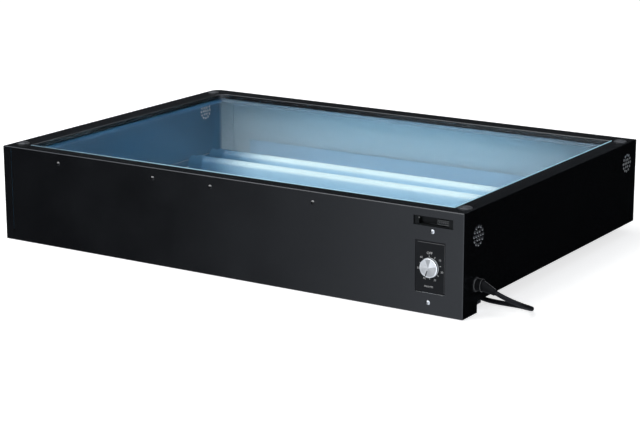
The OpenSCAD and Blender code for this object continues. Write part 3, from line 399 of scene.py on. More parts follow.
def black_coat(name):
    """Satin black powder coat: returns the material, its tree, its shader and its colour"""
    material, tree, shader = new_finish(name)
    tint = add_grain(tree, shader, 1300, 14, 0.00002, 0.18, 0.23)
    colour = blend_colours(tree, tint, black_low, black_high)
    shader.inputs["Specular IOR Level"].default_value = 0.42
    tree.links.new(colour, shader.inputs["Base Color"])
    return material, tree, shader, colour


def wall_enamel_and_end_shade(tree, long_walls=enamel_long):
    """Enamel inside the case on the long walls and the floor, and a dark blue painted shade on the
    two ends
    """
    sideways = number_node(tree, "ABSOLUTE", split_vector(tree, face_way(tree))["X"])
    return blend_colours(tree, ramp_node(tree, sideways, 0.10, 0.60), long_walls, painted_shade_ends)


def coated_inside(name, enamel_or_glint_below):
    """Black coat outside, enamel on the faces that look in at the lamps, and on those that look
    up from below a height: enamel on the pan's floor, or a painted highlight on the lower rims of
    an end panel's vents"""
    material, tree, shader, colour = black_coat(name)
    place = piece_place(tree)
    facing = face_way(tree)
    from_middle = vector_node(tree, "MULTIPLY", place, (1, 1, 0))
    outward = vector_node(tree, "DOT_PRODUCT", from_middle, facing)
    inner = number_node(tree, "LESS_THAN", outward, -0.05)
    upward = number_node(tree, "GREATER_THAN", split_vector(tree, facing)["Z"], 0.5)
    height = split_vector(tree, place)["Z"]
    above = number_node(tree, "GREATER_THAN", height, pan_floor)
    below = number_node(tree, "LESS_THAN", height, enamel_or_glint_below)
    enamel_or_glint_up = number_node(tree, "MULTIPLY", upward, below)
    inside = number_node(tree, "MULTIPLY", number_node(tree, "MAXIMUM", inner, enamel_or_glint_up), above)
    tree.links.new(blend_colours(tree, inside, colour, wall_enamel_and_end_shade(tree)),
        shader.inputs["Base Color"])
    return material


dress(coated_inside("black_coat_enamelled_inside", pan_edge), "front_panel", "rear_panel",
    "base_pan")
# On the end panels the inner faces are a dark blue painted shade, and the upward lower rims of the
# vent holes carry a painted highlight
dress(coated_inside("black_coat_vented", vent_glint_top), "left_end_panel", "right_end_panel")
dress(black_coat("black_coat")[0], "top_frame")

# Ledges, seals and glass
# Sheet angles welded inside the panels are enamelled with them and carry strips of pale silicone
# rubber, and the strips carry a plate of clear float glass with a faint blue-green body. Angles
# and strips take the walls' dark blue painted shade on the two ends.
ledge_pale = (0.36, 0.43, 0.48)


def end_shaded_enamel(name, grains, rough_low, rough_high):
    """A finish in the colour of the walls that it runs along, with their dark blue painted shade
    on the two ends
    """
    material, tree, shader = new_finish(name)
    add_grain(tree, shader, grains, 20, 0.00002, rough_low, rough_high)
    tree.links.new(wall_enamel_and_end_shade(tree, ledge_pale), shader.inputs["Base Color"])
    return material


dress(end_shaded_enamel("ledge_enamel_end_shaded", 900, 0.3, 0.42), "ledge_front", "ledge_rear", "ledge_left",
    "ledge_right")
dress(end_shaded_enamel("silicone_seal", 1400, 0.5, 0.65), "glass_seals")
clear_glass, tree, shader = new_finish("float_glass")
shader.inputs["Base Color"].default_value = (0.90, 0.965, 0.98, 1)
shader.inputs["Roughness"].default_value = 0.0
shader.inputs["IOR"].default_value = 1.52
shader.inputs["Transmission Weight"].default_value = 1.0
dress(clear_glass, "glass")

# Reflector and lamps
# White enamelled tray with lips at the front and the back; its colour is painted with the tubes'
# blue light, lighter on the lips. Four tubes lie over it in two banks; each glows through a window
# along its top, because the rest of its glass is coated white, and the glow fades out before the
# tube's metal caps.
tray_blue_lit_low = (0.50, 0.66, 0.77)
tray_blue_lit_high = (0.54, 0.70, 0.81)
tray_lip_lit = (0.70, 0.80, 0.88)
enamel, tree, shader = new_finish("white_enamel")
tint = add_grain(tree, shader, 700, 12, 0.00001, 0.16, 0.26)
# Painted light: the tray is pale blue from the tubes, and its lips, facing front and back, are
# painted lighter
lip_facing = number_node(tree, "ABSOLUTE", split_vector(tree, face_way(tree))["Y"])
tree.links.new(blend_colours(tree, ramp_node(tree, lip_facing, 0.5, 0.9),
    blend_colours(tree, tint, tray_blue_lit_low, tray_blue_lit_high), tray_lip_lit), shader.inputs["Base Color"])
dress(enamel, "reflector")

tube_low, tube_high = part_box("lamp_tube_1")
tube_axis_z = (tube_low.z + tube_high.z) / 2
tube_radius = (tube_high.z - tube_low.z) / 2
tube_end = tube_high.x
# The tube glass is darker blue towards the tubes' ends: a painted shade
shaded_glass_ends = (0.08, 0.16, 0.24)
glass_long = (0.20, 0.26, 0.30)
shade_ends = (0.03, 0.09, 0.15)
shade_long = (0.42, 0.68, 0.89)
shade_thrown_ends = (0.05, 0.14, 0.24)
shade_thrown_long = (0.18, 0.50, 0.85)
window_seen = (1.10, 1.28, 1.26)
window_thrown = (2.25, 4.35, 5.75)
window_starts = 0.42
window_full = 0.80
dark_at_end = 0.022
full_from_end = 0.125
lamp_glass, tree, shader = new_finish("lamp_glass")
shader.inputs["Roughness"].default_value = 0.25
place = split_vector(tree, piece_place(tree))
window = ramp_node(tree, place["Z"], tube_axis_z + window_starts * tube_radius,
    tube_axis_z + window_full * tube_radius)
from_middle = number_node(tree, "ABSOLUTE", place["X"])
ends = ramp_node(tree, from_middle, tube_end - dark_at_end, tube_end - full_from_end)
lit = number_node(tree, "MULTIPLY", window, ends)
tree.links.new(blend_colours(tree, ends, shaded_glass_ends, glass_long), shader.inputs["Base Color"])
# The light that the tubes throw on the walls is stronger than what the eye can bear to see
rays = put(tree, "ShaderNodeLightPath")
thrown = number_node(tree, "GREATER_THAN", rays.outputs["Diffuse Depth"], 0.5)
glow_seen = blend_colours(tree, lit, blend_colours(tree, ends, shade_ends, shade_long),
    window_seen)
glow_thrown = blend_colours(tree, lit,
    blend_colours(tree, ends, shade_thrown_ends, shade_thrown_long), window_thrown)
tree.links.new(blend_colours(tree, thrown, glow_seen, glow_thrown),
    shader.inputs["Emission Color"])
shader.inputs["Emission Strength"].default_value = 1.0
dress(lamp_glass, "lamp_tube_1", "lamp_tube_2", "lamp_tube_3", "lamp_tube_4")
# Caps and holders are coloured dark blue: the painted shade at the tubes' ends
shaded_fitting_low = (0.045, 0.14, 0.24)
shaded_fitting_high = (0.07, 0.19, 0.30)
cap_metal_shaded = plain_finish("drawn_aluminium_shaded", shaded_fitting_low, shaded_fitting_high, 1600, 60, 0.00002,
    (0.45, 0.6), metal=0.05, gloss=0.2)
holder_plastic_shaded = plain_finish("holder_plastic_shaded", shaded_fitting_low, shaded_fitting_high, 1400, 50, 0.00002,
    (0.4, 0.5), gloss=0.2)
dress(cap_metal_shaded, "lamp_caps")
dress(holder_plastic_shaded, "lamp_holders_left", "lamp_holders_right")

# Ballasts, control box and wires
# Two enamelled ballasts are screwed to the pan on the right; a zinc-plated steel box closes the
# timer and the white plastic terminals off from the lamps.
ballast_paint = plain_finish("ballast_enamel", (0.58, 0.60, 0.61), (0.68, 0.70, 0.71),
    900, 25, 0.00002, (0.3, 0.42))
zinc = plain_finish("zinc_plate", (0.50, 0.51, 0.53), (0.66, 0.67, 0.69),
    900, 45, 0.00002, (0.28, 0.42), metal=1.0)
white_plastic = plain_finish("white_plastic", (0.70, 0.71, 0.70), (0.78, 0.79, 0.78),
    1400, 50, 0.00002, (0.4, 0.5))
sheath_pale = plain_finish("wire_sheath", (0.52, 0.55, 0.60), (0.62, 0.65, 0.70),
    1200, 70, 0.00002, (0.4, 0.5))
dress(ballast_paint, "ballast_front", "ballast_rear")
dress(zinc, "ballast_screws", "control_box", "timer_strap", "timer_shaft", "panel_nuts",
    "foot_screws")
dress(white_plastic, "terminal_block")
dress(sheath_pale, "internal_wiring")

# Timer
# Clockwork movement behind the panel. Its dial is a satin black plate, printed in white with
# OFF, six numbers, short strokes between them and MINUTES; two thin grey lines inside its top and
# right edges are painted highlights of the plate's edges.
black_plastic = plain_finish("black_plastic", (0.008, 0.008, 0.009), (0.013, 0.013, 0.014),
    1800, 60, 0.00003, (0.35, 0.5))
dial_black = plain_finish("dial_black", (0.0024, 0.0026, 0.0031), (0.0034, 0.0036, 0.0043),
    2200, 80, 0.00002, (0.42, 0.52), gloss=0.17)
white_print = plain_finish("white_print", (0.50, 0.50, 0.50), (0.60, 0.60, 0.60),
    3000, 300, 0.00001, (0.4, 0.5))
grey_print_and_glint = plain_finish("grey_print_and_glint", (0.15, 0.15, 0.155), (0.21, 0.21, 0.215),
    3000, 300, 0.00001, (0.4, 0.5), gloss=0.3)
dress(black_plastic, "timer_movement", "relief_nut")
dress(dial_black, "timer_dial")
dial_low, dial_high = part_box("timer_dial")
shaft_low, shaft_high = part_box("timer_shaft")
axis_x = (shaft_low.x + shaft_high.x) / 2
axis_z = (shaft_low.z + shaft_high.z) / 2
print_lift = 0.00005
off_size = 0.0048
off_left = 0.0010
off_up = 0.0185
number_size = 0.0037
number_radius = 0.0176
mark_step = math.radians(52)
stroke_half = 0.0004
stroke_from = 0.0140
stroke_to = 0.0160
minutes_size = 0.0032
minutes_left = 0.0018
minutes_down = 0.0259
off_stroke_left = 0.0018
off_stroke_right = 0.0012
off_stroke_from = 0.0136
off_stroke_to = 0.0156
edge_glint_in = 0.0018
edge_glint_wide = 0.0005
edge_glint_left = 0.003
edge_glint_right = 0.0012
upright_left = 0.0011
upright_right = 0.0009
upright_below = 0.0015


def print_word(word, x, z, size):
    """A printed word on the dial's face, middle at x and z: returns its flat mesh piece"""
    bpy.ops.object.select_all(action="DESELECT")
    bpy.ops.object.text_add()
    text = bpy.context.object
    text.data.body = word
    text.data.size = size
    text.data.extrude = print_lift / 2
    text.data.resolution_u = 3
    text.data.align_x = "CENTER"
    text.data.align_y = "CENTER"
    bpy.ops.object.convert(target="MESH")
    text = bpy.context.object
    text.rotation_euler = (math.pi / 2, 0, 0)
    text.location = (x, dial_low.y - print_lift / 2, z)
    bpy.ops.object.transform_apply(location=True, rotation=True, scale=True)
    return text


def new_block(middle, size):
    """The block that a piece starts from, at its size and place, and selected alone"""
    bpy.ops.object.select_all(action="DESELECT")
    bpy.ops.mesh.primitive_cube_add(size=1, location=middle)
    block = bpy.context.object
    block.scale = size
    bpy.ops.object.transform_apply(location=True, rotation=True, scale=True)
    return block


def print_bar(x0, z0, x1, z1):
    """A printed bar on the dial's face, from one corner to the other"""
    return new_block(((x0 + x1) / 2, dial_low.y - print_lift / 2, (z0 + z1) / 2),
        (x1 - x0, print_lift, z1 - z0))


def join(name, parts):
    """Joins pieces into one, under a name"""
    bpy.ops.object.select_all(action="DESELECT")
    for part in parts:
        part.select_set(True)
    bpy.context.view_layer.objects.active = parts[0]
    bpy.ops.object.join()
    parts[0].name = name
    return parts[0]


def coat(piece, material):
    """Gives a new piece its one finish"""
    piece.data.materials.clear()
    piece.data.materials.append(material)


prints = [print_word("OFF", axis_x - off_left, axis_z + off_up, off_size),
    print_bar(axis_x - off_stroke_left, axis_z + off_stroke_from, axis_x - off_stroke_right,
        axis_z + off_stroke_to)]
for index in range(1, 7):
    angle = index * mark_step
    prints.append(print_word(str(10 * index), axis_x + number_radius * math.sin(angle),
        axis_z + number_radius * math.cos(angle), number_size))
    stroke = print_bar(-stroke_half, stroke_from, stroke_half, stroke_to)
    turn = Matrix.Rotation((index - 0.5) * mark_step, 4, "Y")
    stroke.data.transform(Matrix.Translation((axis_x, 0, axis_z)) @ turn)
    prints.append(stroke)
prints.append(print_word("MINUTES", axis_x - minutes_left, axis_z - minutes_down, minutes_size))
dial_print = join("dial_print", prints)
coat(dial_print, white_print)
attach(dial_print, "case")
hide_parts("dial_marks")

# Painted highlights: thin grey lines inside the dial's top and right edges
level_glint = print_bar(dial_low.x + edge_glint_left, dial_high.z - edge_glint_in - edge_glint_wide,
    dial_high.x - edge_glint_right, dial_high.z - edge_glint_in)
upright_glint = print_bar(dial_high.x - upright_left, dial_low.z + edge_glint_in,
    dial_high.x - upright_right, dial_high.z - edge_glint_in - upright_below)
dial_edge_glints = join("dial_edge_glints", [level_glint, upright_glint])
coat(dial_edge_glints, grey_print_and_glint)
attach(dial_edge_glints, "case")

# Knob
# Turned from aluminium bar: a thin skirt, a fluted grip, a turned face with a bright rim and
# a black-filled pointer groove. It presses on the timer's shaft.
knob_low, knob_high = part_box("timer_knob")
knob_radius = (knob_high.x - knob_low.x) / 2
knob_middle = (axis_x, knob_low.y, axis_z)
skirt_high = 0.0012
grip_in = 0.0003
rim_chamfer = 0.0005
rim_wide = 0.0007
grip_high = knob_high.y - knob_low.y - skirt_high - rim_chamfer
grip_middle = knob_high.y - skirt_high - grip_high / 2
dish_deep = 0.00012
dish_in = 0.0002
flutes = 60
flute_edge = 0.00008
flute_deep = 0.00022
pointer_turn = math.radians(200)
pointer_wide = 0.0013
pointer_deep = 0.0006
pointer_from = 0.0036
paint_over = 0.00002


def pick_faces(piece, test):
    """In edit mode, selects the faces whose middle and normal pass a test"""
    bpy.ops.mesh.select_all(action="DESELECT")
    mesh = bmesh.from_edit_mesh(piece.data)
    mesh.normal_update()
    for face in mesh.faces:
        face.select_set(test(face.calc_center_median(), face.normal))
    bmesh.update_edit_mesh(piece.data)


def start_edit(piece, test):
    """Opens a piece for work on its faces, with those selected that pass a test"""
    bpy.ops.object.mode_set(mode="EDIT")
    bpy.ops.mesh.select_mode(type="FACE")
    pick_faces(piece, test)


def push(x, y, z):
    """In edit mode, extrudes what is selected"""
    bpy.ops.mesh.extrude_region_move(TRANSFORM_OT_translate={"value": (x, y, z)})


def looks_front(middle, normal):
    """Tells the faces that look to the front"""
    return normal.y < -0.9


def is_flute(middle, normal):
    """Tells every second face round the grip"""
    if abs(normal.y) > 0.1 or abs(middle.y - grip_middle) > 0.0005:
        return False
    angle = math.atan2(middle.x - axis_x, middle.z - axis_z)
    return int((angle / math.pi + 1) * flutes) % 2 == 0


def draw_in(inwards):
    """In edit mode, draws what is selected in towards the knob's axis"""
    shrink = 1 - inwards / knob_radius
    bpy.ops.transform.resize(value=(shrink, 1, shrink), center_override=knob_middle)


bpy.ops.object.select_all(action="DESELECT")
bpy.ops.mesh.primitive_cylinder_add(vertices=2 * flutes, radius=knob_radius, depth=skirt_high,
    location=(axis_x, knob_high.y - skirt_high / 2, axis_z), rotation=(math.pi / 2, 0, 0))
knob = bpy.context.object
knob.name = "knob_turned"
bpy.ops.object.transform_apply(location=True, rotation=True, scale=True)
start_edit(knob, looks_front)
bpy.ops.mesh.inset(thickness=grip_in)
push(0, -grip_high, 0)
push(0, -rim_chamfer, 0)
draw_in(rim_chamfer)
bpy.ops.mesh.inset(thickness=rim_wide)
push(0, dish_deep, 0)
draw_in(dish_in)
pick_faces(knob, is_flute)
bpy.ops.mesh.inset(thickness=flute_edge, depth=-flute_deep, use_individual=True)
bpy.ops.object.mode_set(mode="OBJECT")
cutter = new_block((0, 0, 0), (pointer_wide, 2 * pointer_deep, knob_radius))
cutter.data.transform(Matrix.Translation(knob_middle)
    @ Matrix.Rotation(pointer_turn, 4, "Y")
    @ Matrix.Translation((0, 0, pointer_from + knob_radius / 2)))
bpy.ops.object.select_all(action="DESELECT")
knob.select_set(True)
bpy.context.view_layer.objects.active = knob
cut = knob.modifiers.new("pointer", "BOOLEAN")
cut.operation = "DIFFERENCE"
cut.object = cutter
bpy.ops.object.modifier_apply(modifier="pointer")
bpy.data.objects.remove(cutter)
bpy.ops.object.shade_smooth_by_angle(angle=math.radians(25))

# The turned face: fine rings, a black-filled pointer, and gloss that stretches across the rings
ring_pitch = 0.00038
ring_deep = 0.000006
face_deep = 0.0002
face_in = 0.0018
knob_metal, tree, shader = new_finish("turned_aluminium")
place = piece_place(tree)
from_axis = vector_node(tree, "SUBTRACT", place, (axis_x, 0, axis_z))
flat = vector_node(tree, "MULTIPLY", from_axis, (1, 0, 1))
spread = vector_node(tree, "LENGTH", flat)
turned_rings = put(tree, "ShaderNodeBump")
turned_rings.inputs["Strength"].default_value = 1.0
turned_rings.inputs["Distance"].default_value = ring_deep
ring_turns = number_node(tree, "MULTIPLY", spread, 2 * math.pi / ring_pitch)
tree.links.new(number_node(tree, "SINE", ring_turns), turned_rings.inputs["Height"])
tree.links.new(turned_rings.outputs["Normal"], shader.inputs["Normal"])
across = vector_node(tree, "DOT_PRODUCT", flat,
    (math.cos(pointer_turn), 0, -math.sin(pointer_turn)))
along = vector_node(tree, "DOT_PRODUCT", flat,
    (math.sin(pointer_turn), 0, math.cos(pointer_turn)))
narrow = number_node(tree, "LESS_THAN", number_node(tree, "ABSOLUTE", across),
    pointer_wide / 2 + paint_over)
outer = number_node(tree, "GREATER_THAN", along, pointer_from - paint_over)
filled = number_node(tree, "MULTIPLY", narrow, outer)
# The turned face is painted with the sectors in which the tool's rings catch the light, a painted
# highlight: each stop is a share of the way round from the face's lowest point, and a brightness
round_face = split_vector(tree, flat)
sector = number_node(tree, "ARCTAN2", round_face["X"], round_face["Z"])
sector = number_node(tree, "ADD", number_node(tree, "DIVIDE", sector, 2 * math.pi), 0.5)
painted_highlight_sectors = put(tree, "ShaderNodeValToRGB")
painted_highlight_sectors.color_ramp.interpolation = "EASE"
tree.links.new(sector, painted_highlight_sectors.inputs["Fac"])
dull, fair, bright = 0.42, 0.60, 0.90
stops = [(0.0, dull), (0.035, dull), (0.055, fair), (0.20, 0.50), (0.36, fair), (0.43, 0.70),
    (0.452, dull), (0.535, 0.45), (0.556, bright), (0.69, bright), (0.725, 0.47), (1.0, dull)]
while len(painted_highlight_sectors.color_ramp.elements) < len(stops):
    painted_highlight_sectors.color_ramp.elements.new(0.5)
for element, (share_round, level) in zip(painted_highlight_sectors.color_ramp.elements, stops):
    element.position = share_round
    element.color = (level, level * 0.985, level * 0.96, 1)
on_face = number_node(tree, "MULTIPLY",
    number_node(tree, "LESS_THAN", split_vector(tree, place)["Y"], knob_low.y + face_deep),
    number_node(tree, "LESS_THAN", spread, knob_radius - face_in))
patches = put(tree, "ShaderNodeGroup", node_tree=fine_grain)
patches.inputs["Patches per metre"].default_value = 160
metal_tint_and_sheen = blend_colours(tree, patches.outputs["Patches"], (0.50, 0.50, 0.49),
    (0.60, 0.60, 0.59))
metal_tint_and_sheen = blend_colours(tree, on_face, metal_tint_and_sheen, painted_highlight_sectors.outputs["Color"])
tree.links.new(blend_colours(tree, filled, metal_tint_and_sheen, (0.02, 0.02, 0.02)),
    shader.inputs["Base Color"])
tree.links.new(number_node(tree, "SUBTRACT", 1.0, filled), shader.inputs["Metallic"])
shader.inputs["Roughness"].default_value = 0.34
shader.inputs["Anisotropic"].default_value = 0.8
round_axis = put(tree, "ShaderNodeTangent", direction_type="RADIAL", axis="Y")
tree.links.new(round_axis.outputs[0], shader.inputs["Tangent"])
coat(knob, knob_metal)
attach(knob, "knob")
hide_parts("timer_knob")

# Screws, plugs and feet
# Blackened round-head screws, with a painted highlight on the upper edge of each head, two
# nickel-plated ones at the timer, black snap-in plugs in the frame's corners and rubber feet below
# the pan.
black_screw = plain_finish("blackened_steel", (0.0015, 0.0015, 0.002), (0.003, 0.003, 0.004),
    1500, 200, 0.00001, (0.12, 0.18), gloss=0.10)
nickel = plain_finish("nickel_plate", (0.22, 0.22, 0.22), (0.34, 0.34, 0.34),
    1500, 900, 0.00001, (0.22, 0.34), metal=1.0)
relief_nylon = plain_finish("relief_nylon", (0.0035, 0.0035, 0.004), (0.006, 0.006, 0.0065),
    1500, 120, 0.00003, (0.45, 0.6), gloss=0.05)
rubber = plain_finish("black_rubber", (0.010, 0.010, 0.011), (0.018, 0.018, 0.019),
    1200, 40, 0.00005, (0.6, 0.8))
glint_grey = (0.38, 0.38, 0.38)
tree = black_screw.node_tree
coloured = tree.nodes["Principled BSDF"].inputs["Base Color"]
# Painted highlight: the upward faces of each head are light grey
head_glint = ramp_node(tree, split_vector(tree, face_way(tree))["Z"], 0.28, 0.62)
blacking = coloured.links[0].from_socket
tree.links.new(blend_colours(tree, head_glint, blacking, glint_grey), coloured)
dress(black_screw, "panel_screws")
dress(nickel, "timer_screws")
dress(black_plastic, "dome_plugs")
dress(relief_nylon, "strain_relief")
dress(rubber, "foot_front_left", "foot_front_right", "foot_rear_left", "foot_rear_right")

# Plug rings
# The snap-in plugs are moulded in one piece of plastic. Each has two raised rings round its
# dome, one at the rim and one half way in, coloured lighter than the dome as a painted sheen.
edge_shine = plain_finish("moulded_edge_sheen", (0.03, 0.03, 0.032), (0.05, 0.05, 0.053),
    1500, 200, 0.00001, (0.25, 0.35), gloss=0.8)
plug_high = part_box("dome_plugs")[1]
plug_radius = 0.00975
plug_x = plug_high.x - plug_radius
plug_y = plug_high.y - plug_radius
rim_radius, rim_thick, rim_down = 0.0088, 0.0005, 0.0010
inner_radius, inner_thick, inner_down = 0.0048, 0.0004, 0.0001


def ring(x, y, z, radius, thick, turn, around=36):
    """A round moulded or pressed ring: returns the piece, with its place in its mesh"""
    bpy.ops.object.select_all(action="DESELECT")
    bpy.ops.mesh.primitive_torus_add(location=(x, y, z), rotation=turn, major_segments=around,
        minor_segments=6, major_radius=radius, minor_radius=thick)
    piece = bpy.context.object
    bpy.ops.object.transform_apply(location=True, rotation=True, scale=True)
    bpy.ops.object.shade_smooth()
    return piece


plug_edges = []
for x in (-plug_x, plug_x):
    for y in (-plug_y, plug_y):
        plug_edges.append(ring(x, y, plug_high.z - rim_down, rim_radius, rim_thick, (0, 0, 0)))
        plug_edges.append(ring(x, y, plug_high.z - inner_down, inner_radius, inner_thick,
            (0, 0, 0)))
plug_rings = join("plug_rings", plug_edges)
coat(plug_rings, edge_shine)
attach(plug_rings, "case")

# Vents
# Each end panel has two rosettes of nineteen punched holes. A hole has a rolled edge, coloured
# light grey partly for edge wear and partly as a painted highlight, and a black box behind each
# rosette on the right stands in for the shade seen through its holes.
rim_wear_and_glint = plain_finish("rim_wear_and_glint", (0.05, 0.052, 0.054), (0.12, 0.122, 0.126),
    1500, 260, 0.00001, (0.3, 0.45), gloss=0.7)
end_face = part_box("right_end_panel")[1].x
vent_places = [(end_face, -0.2270, 0.1035), (end_face, 0.2335, 0.1100),
    (-end_face, -0.2270, 0.1035), (-end_face, 0.2335, 0.1015)]
vent_pitch = 0.0060
hole_radius = 0.00205
hole_edge = 0.00022
facing_out = (0, math.pi / 2, 0)
rims = []
for x, y, z in vent_places:
    for rings_out, holes in ((0, 1), (1, 6), (2, 12)):
        for hole in range(holes):
            angle = 2 * math.pi * hole / holes
            reach = rings_out * vent_pitch
            rims.append(ring(x, y + reach * math.cos(angle), z + reach * math.sin(angle),
                hole_radius, hole_edge, facing_out, 16))
vent_rims = join("vent_rims", rims)
coat(vent_rims, rim_wear_and_glint)
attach(vent_rims, "case")

# The black boxes are dark sheets put where the right-hand vents show only shade
behind_sheet = 0.0012
box_deep = 0.005
box_side = 0.032
box_wall = 0.0008
shade_boxes = []
for x, y, z in vent_places[:2]:
    box = new_block((x - behind_sheet - box_deep / 2, y, z), (box_deep, box_side, box_side))
    start_edit(box, lambda middle, normal: normal.x > 0.9)
    bpy.ops.mesh.inset(thickness=box_wall)
    push(box_wall - box_deep, 0, 0)
    bpy.ops.object.mode_set(mode="OBJECT")
    shade_boxes.append(box)
vent_shade_boxes = join("vent_shade_boxes", shade_boxes)
coat(vent_shade_boxes, relief_nylon)
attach(vent_shade_boxes, "case")

# Strain relief glints
# Moulding lines of the nylon relief, coloured light grey as painted highlights: round its flange
# and its body, and along the top of its sleeve. They stand a few tenths of a millimetre proud.
moulding_glint = plain_finish("moulding_glint", (0.14, 0.14, 0.14), (0.20, 0.20, 0.20),
    1500, 260, 0.00001, (0.3, 0.45))
relief_y = -0.2330
relief_z = 0.0405
round_lines = ((0.0021, 0.0093, 0.00025), (0.0022, 0.0081, 0.00025), (0.0104, 0.0083, 0.0003))
top_lines = (((0.3832, relief_y, 0.0487), (0.3908, relief_y, 0.0489), 0.0003),
    ((0.3942, relief_y, 0.0470), (0.4105, relief_y, 0.0382), 0.00025))
relief_glint_lines = []
for out, radius, thick in round_lines:
    relief_glint_lines.append(ring(end_face + out, relief_y, relief_z, radius, thick, facing_out))
for line_from, line_to, thick in top_lines:
    run = Vector(line_to) - Vector(line_from)
    bpy.ops.object.select_all(action="DESELECT")
    bpy.ops.mesh.primitive_cylinder_add(vertices=8, radius=thick, depth=run.length)
    line = bpy.context.object
    start_edit(line, lambda middle, normal: abs(normal.z) > 0.9)
    bpy.ops.mesh.inset(thickness=thick / 2, depth=thick / 2, use_individual=True)
    bpy.ops.object.mode_set(mode="OBJECT")
    line.data.transform(Matrix.Translation((Vector(line_from) + Vector(line_to)) / 2)
        @ run.to_track_quat("Z", "Y").to_matrix().to_4x4())
    relief_glint_lines.append(line)
relief_glints = join("relief_glints", relief_glint_lines)
coat(relief_glints, moulding_glint)
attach(relief_glints, "case")

# Edge bead
# A thin clear bead of silicone is run along the inner edge of the frame's front and right
# strips; its glow is painted light from the lamps below, fading out towards the left.
opening_left, opening_front = -0.3480, -0.2430
opening_right, opening_back = 0.3545, 0.2365
bead_wide = 0.0008
bead_top = 0.1405
bead_base = 0.1380
bead_round = 0.00025
bead_dim_end = 0.28
beads = []
for x0, y0, x1, y1 in (
        (opening_left, opening_front, opening_right, opening_front + bead_wide),
        (opening_right - bead_wide, opening_front + bead_wide, opening_right, opening_back)):
    bead = new_block(((x0 + x1) / 2, (y0 + y1) / 2, (bead_base + bead_top) / 2),
        (x1 - x0, y1 - y0, bead_top - bead_base))
    bpy.ops.object.mode_set(mode="EDIT")
    bpy.ops.mesh.select_all(action="SELECT")
    bpy.ops.mesh.bevel(offset=bead_round, segments=2)
    bpy.ops.object.mode_set(mode="OBJECT")
    beads.append(bead)
edge_bead = join("edge_bead", beads)
bead_painted_glow, tree, shader = new_finish("bead_painted_glow")
add_grain(tree, shader, 900, 60, 0.00001, 0.2, 0.3)
shader.inputs["Base Color"].default_value = (0.20, 0.27, 0.30, 1)
# The bead's glow is painted light: it is no lamp
glow_along = ramp_node(tree, split_vector(tree, piece_place(tree))["X"], opening_left,
    opening_left + bead_dim_end)
tree.links.new(blend_colours(tree, glow_along, (0.01, 0.05, 0.08), (0.27, 0.48, 0.58)),
    shader.inputs["Emission Color"])
shader.inputs["Emission Strength"].default_value = 1.0
coat(edge_bead, bead_painted_glow)
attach(edge_bead, "case")

# Lead tie
# A flat strap of black rubber is stretched round one side of the coil and holds the spare
# lead together.
tie_rubber = plain_finish("tie_rubber", (0.006, 0.006, 0.007), (0.012, 0.012, 0.013),
    1600, 150, 0.00006, (0.55, 0.75), gloss=0.3)
coil_wide = coil_outer - coil_inner
tie_middle = coil_middle - Vector((0, coil_inner + coil_wide / 2, 0))
tie_wide = 0.008
tie_slack = 0.0096
tie_top = 0.0145
tie_lift = 0.0003
tie_thick = 0.0009
tie_round = 0.0004
tie = new_block((tie_middle.x, tie_middle.y, tie_top / 2 + tie_lift),
    (tie_wide, coil_wide + tie_slack, tie_top - 2 * tie_lift))
tie.name = "lead_tie"
start_edit(tie, lambda middle, normal: abs(normal.x) > 0.9)
bpy.ops.mesh.inset(thickness=tie_thick, use_individual=True)
bpy.ops.mesh.bridge_edge_loops()
bpy.ops.object.mode_set(mode="OBJECT")
rounded = tie.modifiers.new("rounded", "BEVEL")
rounded.width = tie_round
rounded.segments = 2
bpy.context.view_layer.objects.active = tie
bpy.ops.object.modifier_apply(modifier="rounded")
coat(tie, tie_rubber)
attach(tie, "case")

# Counter
# A small running-time counter in a moulded black housing behind a slot in the front panel: a
# deep window, a framed row of number wheels at its right-hand end and a tiny lamp at its left.
housing_black = plain_finish("housing_black", (0.0022, 0.0026, 0.0026), (0.0040, 0.0046, 0.0044),
    1800, 60, 0.00003, (0.35, 0.5), gloss=0.15)
slot_low, slot_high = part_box("counter_bezel")
slot_middle = (slot_low + slot_high) / 2
case_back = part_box("counter_case")[1].y
front_edge = 0.0005
front_step = 0.0012
window_edge = 0.0009
window_squeeze = 0.80
window_deep = 0.0062
housing = new_block((slot_middle.x, (slot_low.y + case_back) / 2, slot_middle.z),
    (slot_high.x - slot_low.x, case_back - slot_low.y, slot_high.z - slot_low.z))
housing.name = "counter_housing"
start_edit(housing, looks_front)
bpy.ops.mesh.inset(thickness=front_edge)
push(0, front_step, 0)
bpy.ops.mesh.inset(thickness=window_edge)
bpy.ops.transform.resize(value=(window_squeeze, 1, 1),
    center_override=(slot_middle.x, slot_low.y, slot_middle.z))
push(0, window_deep, 0)
bpy.ops.object.mode_set(mode="OBJECT")
coat(housing, housing_black)
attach(housing, "case")
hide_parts("counter_bezel", "counter_case")

wheels_x = slot_high.x - 0.0150
wheels_y = slot_low.y + 0.0032
wheels_z = slot_middle.z + 0.0002
wheel_frame_size = (0.0165, 0.0030, 0.0062)
wheel_frame_edge = 0.00045
wheel_frame_deep = 0.0008
sill_low = 0.0036
sill_high = 0.0029
sill_left = 0.0190
sill_right = 0.0083
sill_out = 0.0010
sunk_from = 0.0011
wheel_frame = new_block((wheels_x, wheels_y, wheels_z), wheel_frame_size)
wheel_frame.name = "counter_frame"
start_edit(wheel_frame, looks_front)
bpy.ops.mesh.inset(thickness=wheel_frame_edge)
push(0, wheel_frame_deep, 0)
bpy.ops.object.mode_set(mode="OBJECT")
sill = print_bar(wheels_x - sill_left, wheels_z - sill_low, wheels_x + sill_right,
    wheels_z - sill_high)
sill.data.transform(Matrix.Translation((0, wheels_y - sill_out - dial_low.y, 0)))
wheel_frame = join("counter_frame", [wheel_frame, sill])
frame_grey, tree, shader = new_finish("counter_frame_grey")
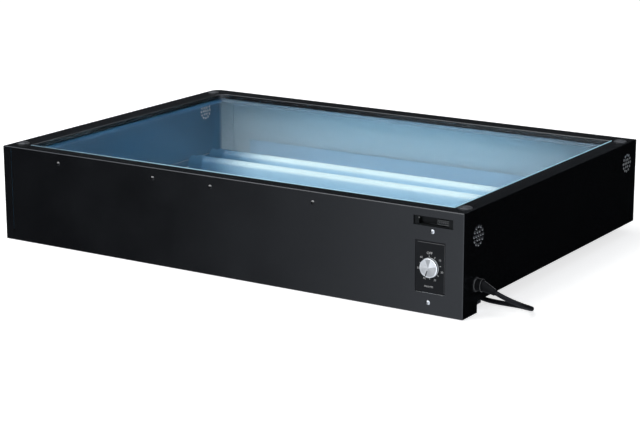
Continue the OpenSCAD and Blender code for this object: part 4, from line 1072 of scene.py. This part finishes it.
tint = add_grain(tree, shader, 1500, 90, 0.00002, 0.3, 0.4)
sunk = number_node(tree, "GREATER_THAN", split_vector(tree, piece_place(tree))["Y"],
    wheels_y - sunk_from)
grey = blend_colours(tree, tint, (0.13, 0.14, 0.14), (0.20, 0.21, 0.21))
tree.links.new(blend_colours(tree, sunk, grey, (0.004, 0.005, 0.005)),
    shader.inputs["Base Color"])
shader.inputs["Specular IOR Level"].default_value = 0.25
coat(wheel_frame, frame_grey)
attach(wheel_frame, "case")
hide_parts("counter_display")

wheel_pitch = 0.0029
digit_size = 0.0036
digit_out = 0.0007
wheel_digits = []
for wheel in range(5):
    digit = print_word("0", wheels_x + (wheel - 2) * wheel_pitch, wheels_z, digit_size)
    digit.data.transform(Matrix.Translation((0, wheels_y - digit_out - dial_low.y, 0)))
    wheel_digits.append(digit)
wheel_digits = join("counter_digits", wheel_digits)
coat(wheel_digits, grey_print_and_glint)
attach(wheel_digits, "case")

lens = plain_finish("lamp_lens", (0.45, 0.46, 0.46), (0.55, 0.56, 0.56),
    2500, 900, 0.00001, (0.12, 0.2))
lens_radius = 0.0008
lens_place = (slot_low.x + 0.0072, slot_low.y + 0.0012, slot_high.z - 0.0028)
bpy.ops.object.select_all(action="DESELECT")
bpy.ops.mesh.primitive_uv_sphere_add(segments=24, ring_count=12, radius=lens_radius,
    location=lens_place)
counter_lamp = bpy.context.object
counter_lamp.name = "counter_lamp"
bpy.ops.object.transform_apply(location=True, rotation=True, scale=True)
bpy.ops.object.shade_smooth()
coat(counter_lamp, lens)
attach(counter_lamp, "case")

# Plug
# A three-pin plug is moulded in black plastic on the lead's end, with two flat brass blades and
# a round brass earth pin.
plug_black = plain_finish("plug_plastic", (0.010, 0.010, 0.011), (0.016, 0.016, 0.017),
    1300, 70, 0.00005, (0.4, 0.55))
brass = plain_finish("brass", (0.62, 0.45, 0.20), (0.74, 0.56, 0.27),
    1200, 90, 0.00001, (0.18, 0.3), metal=1.0)
dress(plug_black, "plug_body")
dress(brass, "plug_blades", "plug_earth_pin")
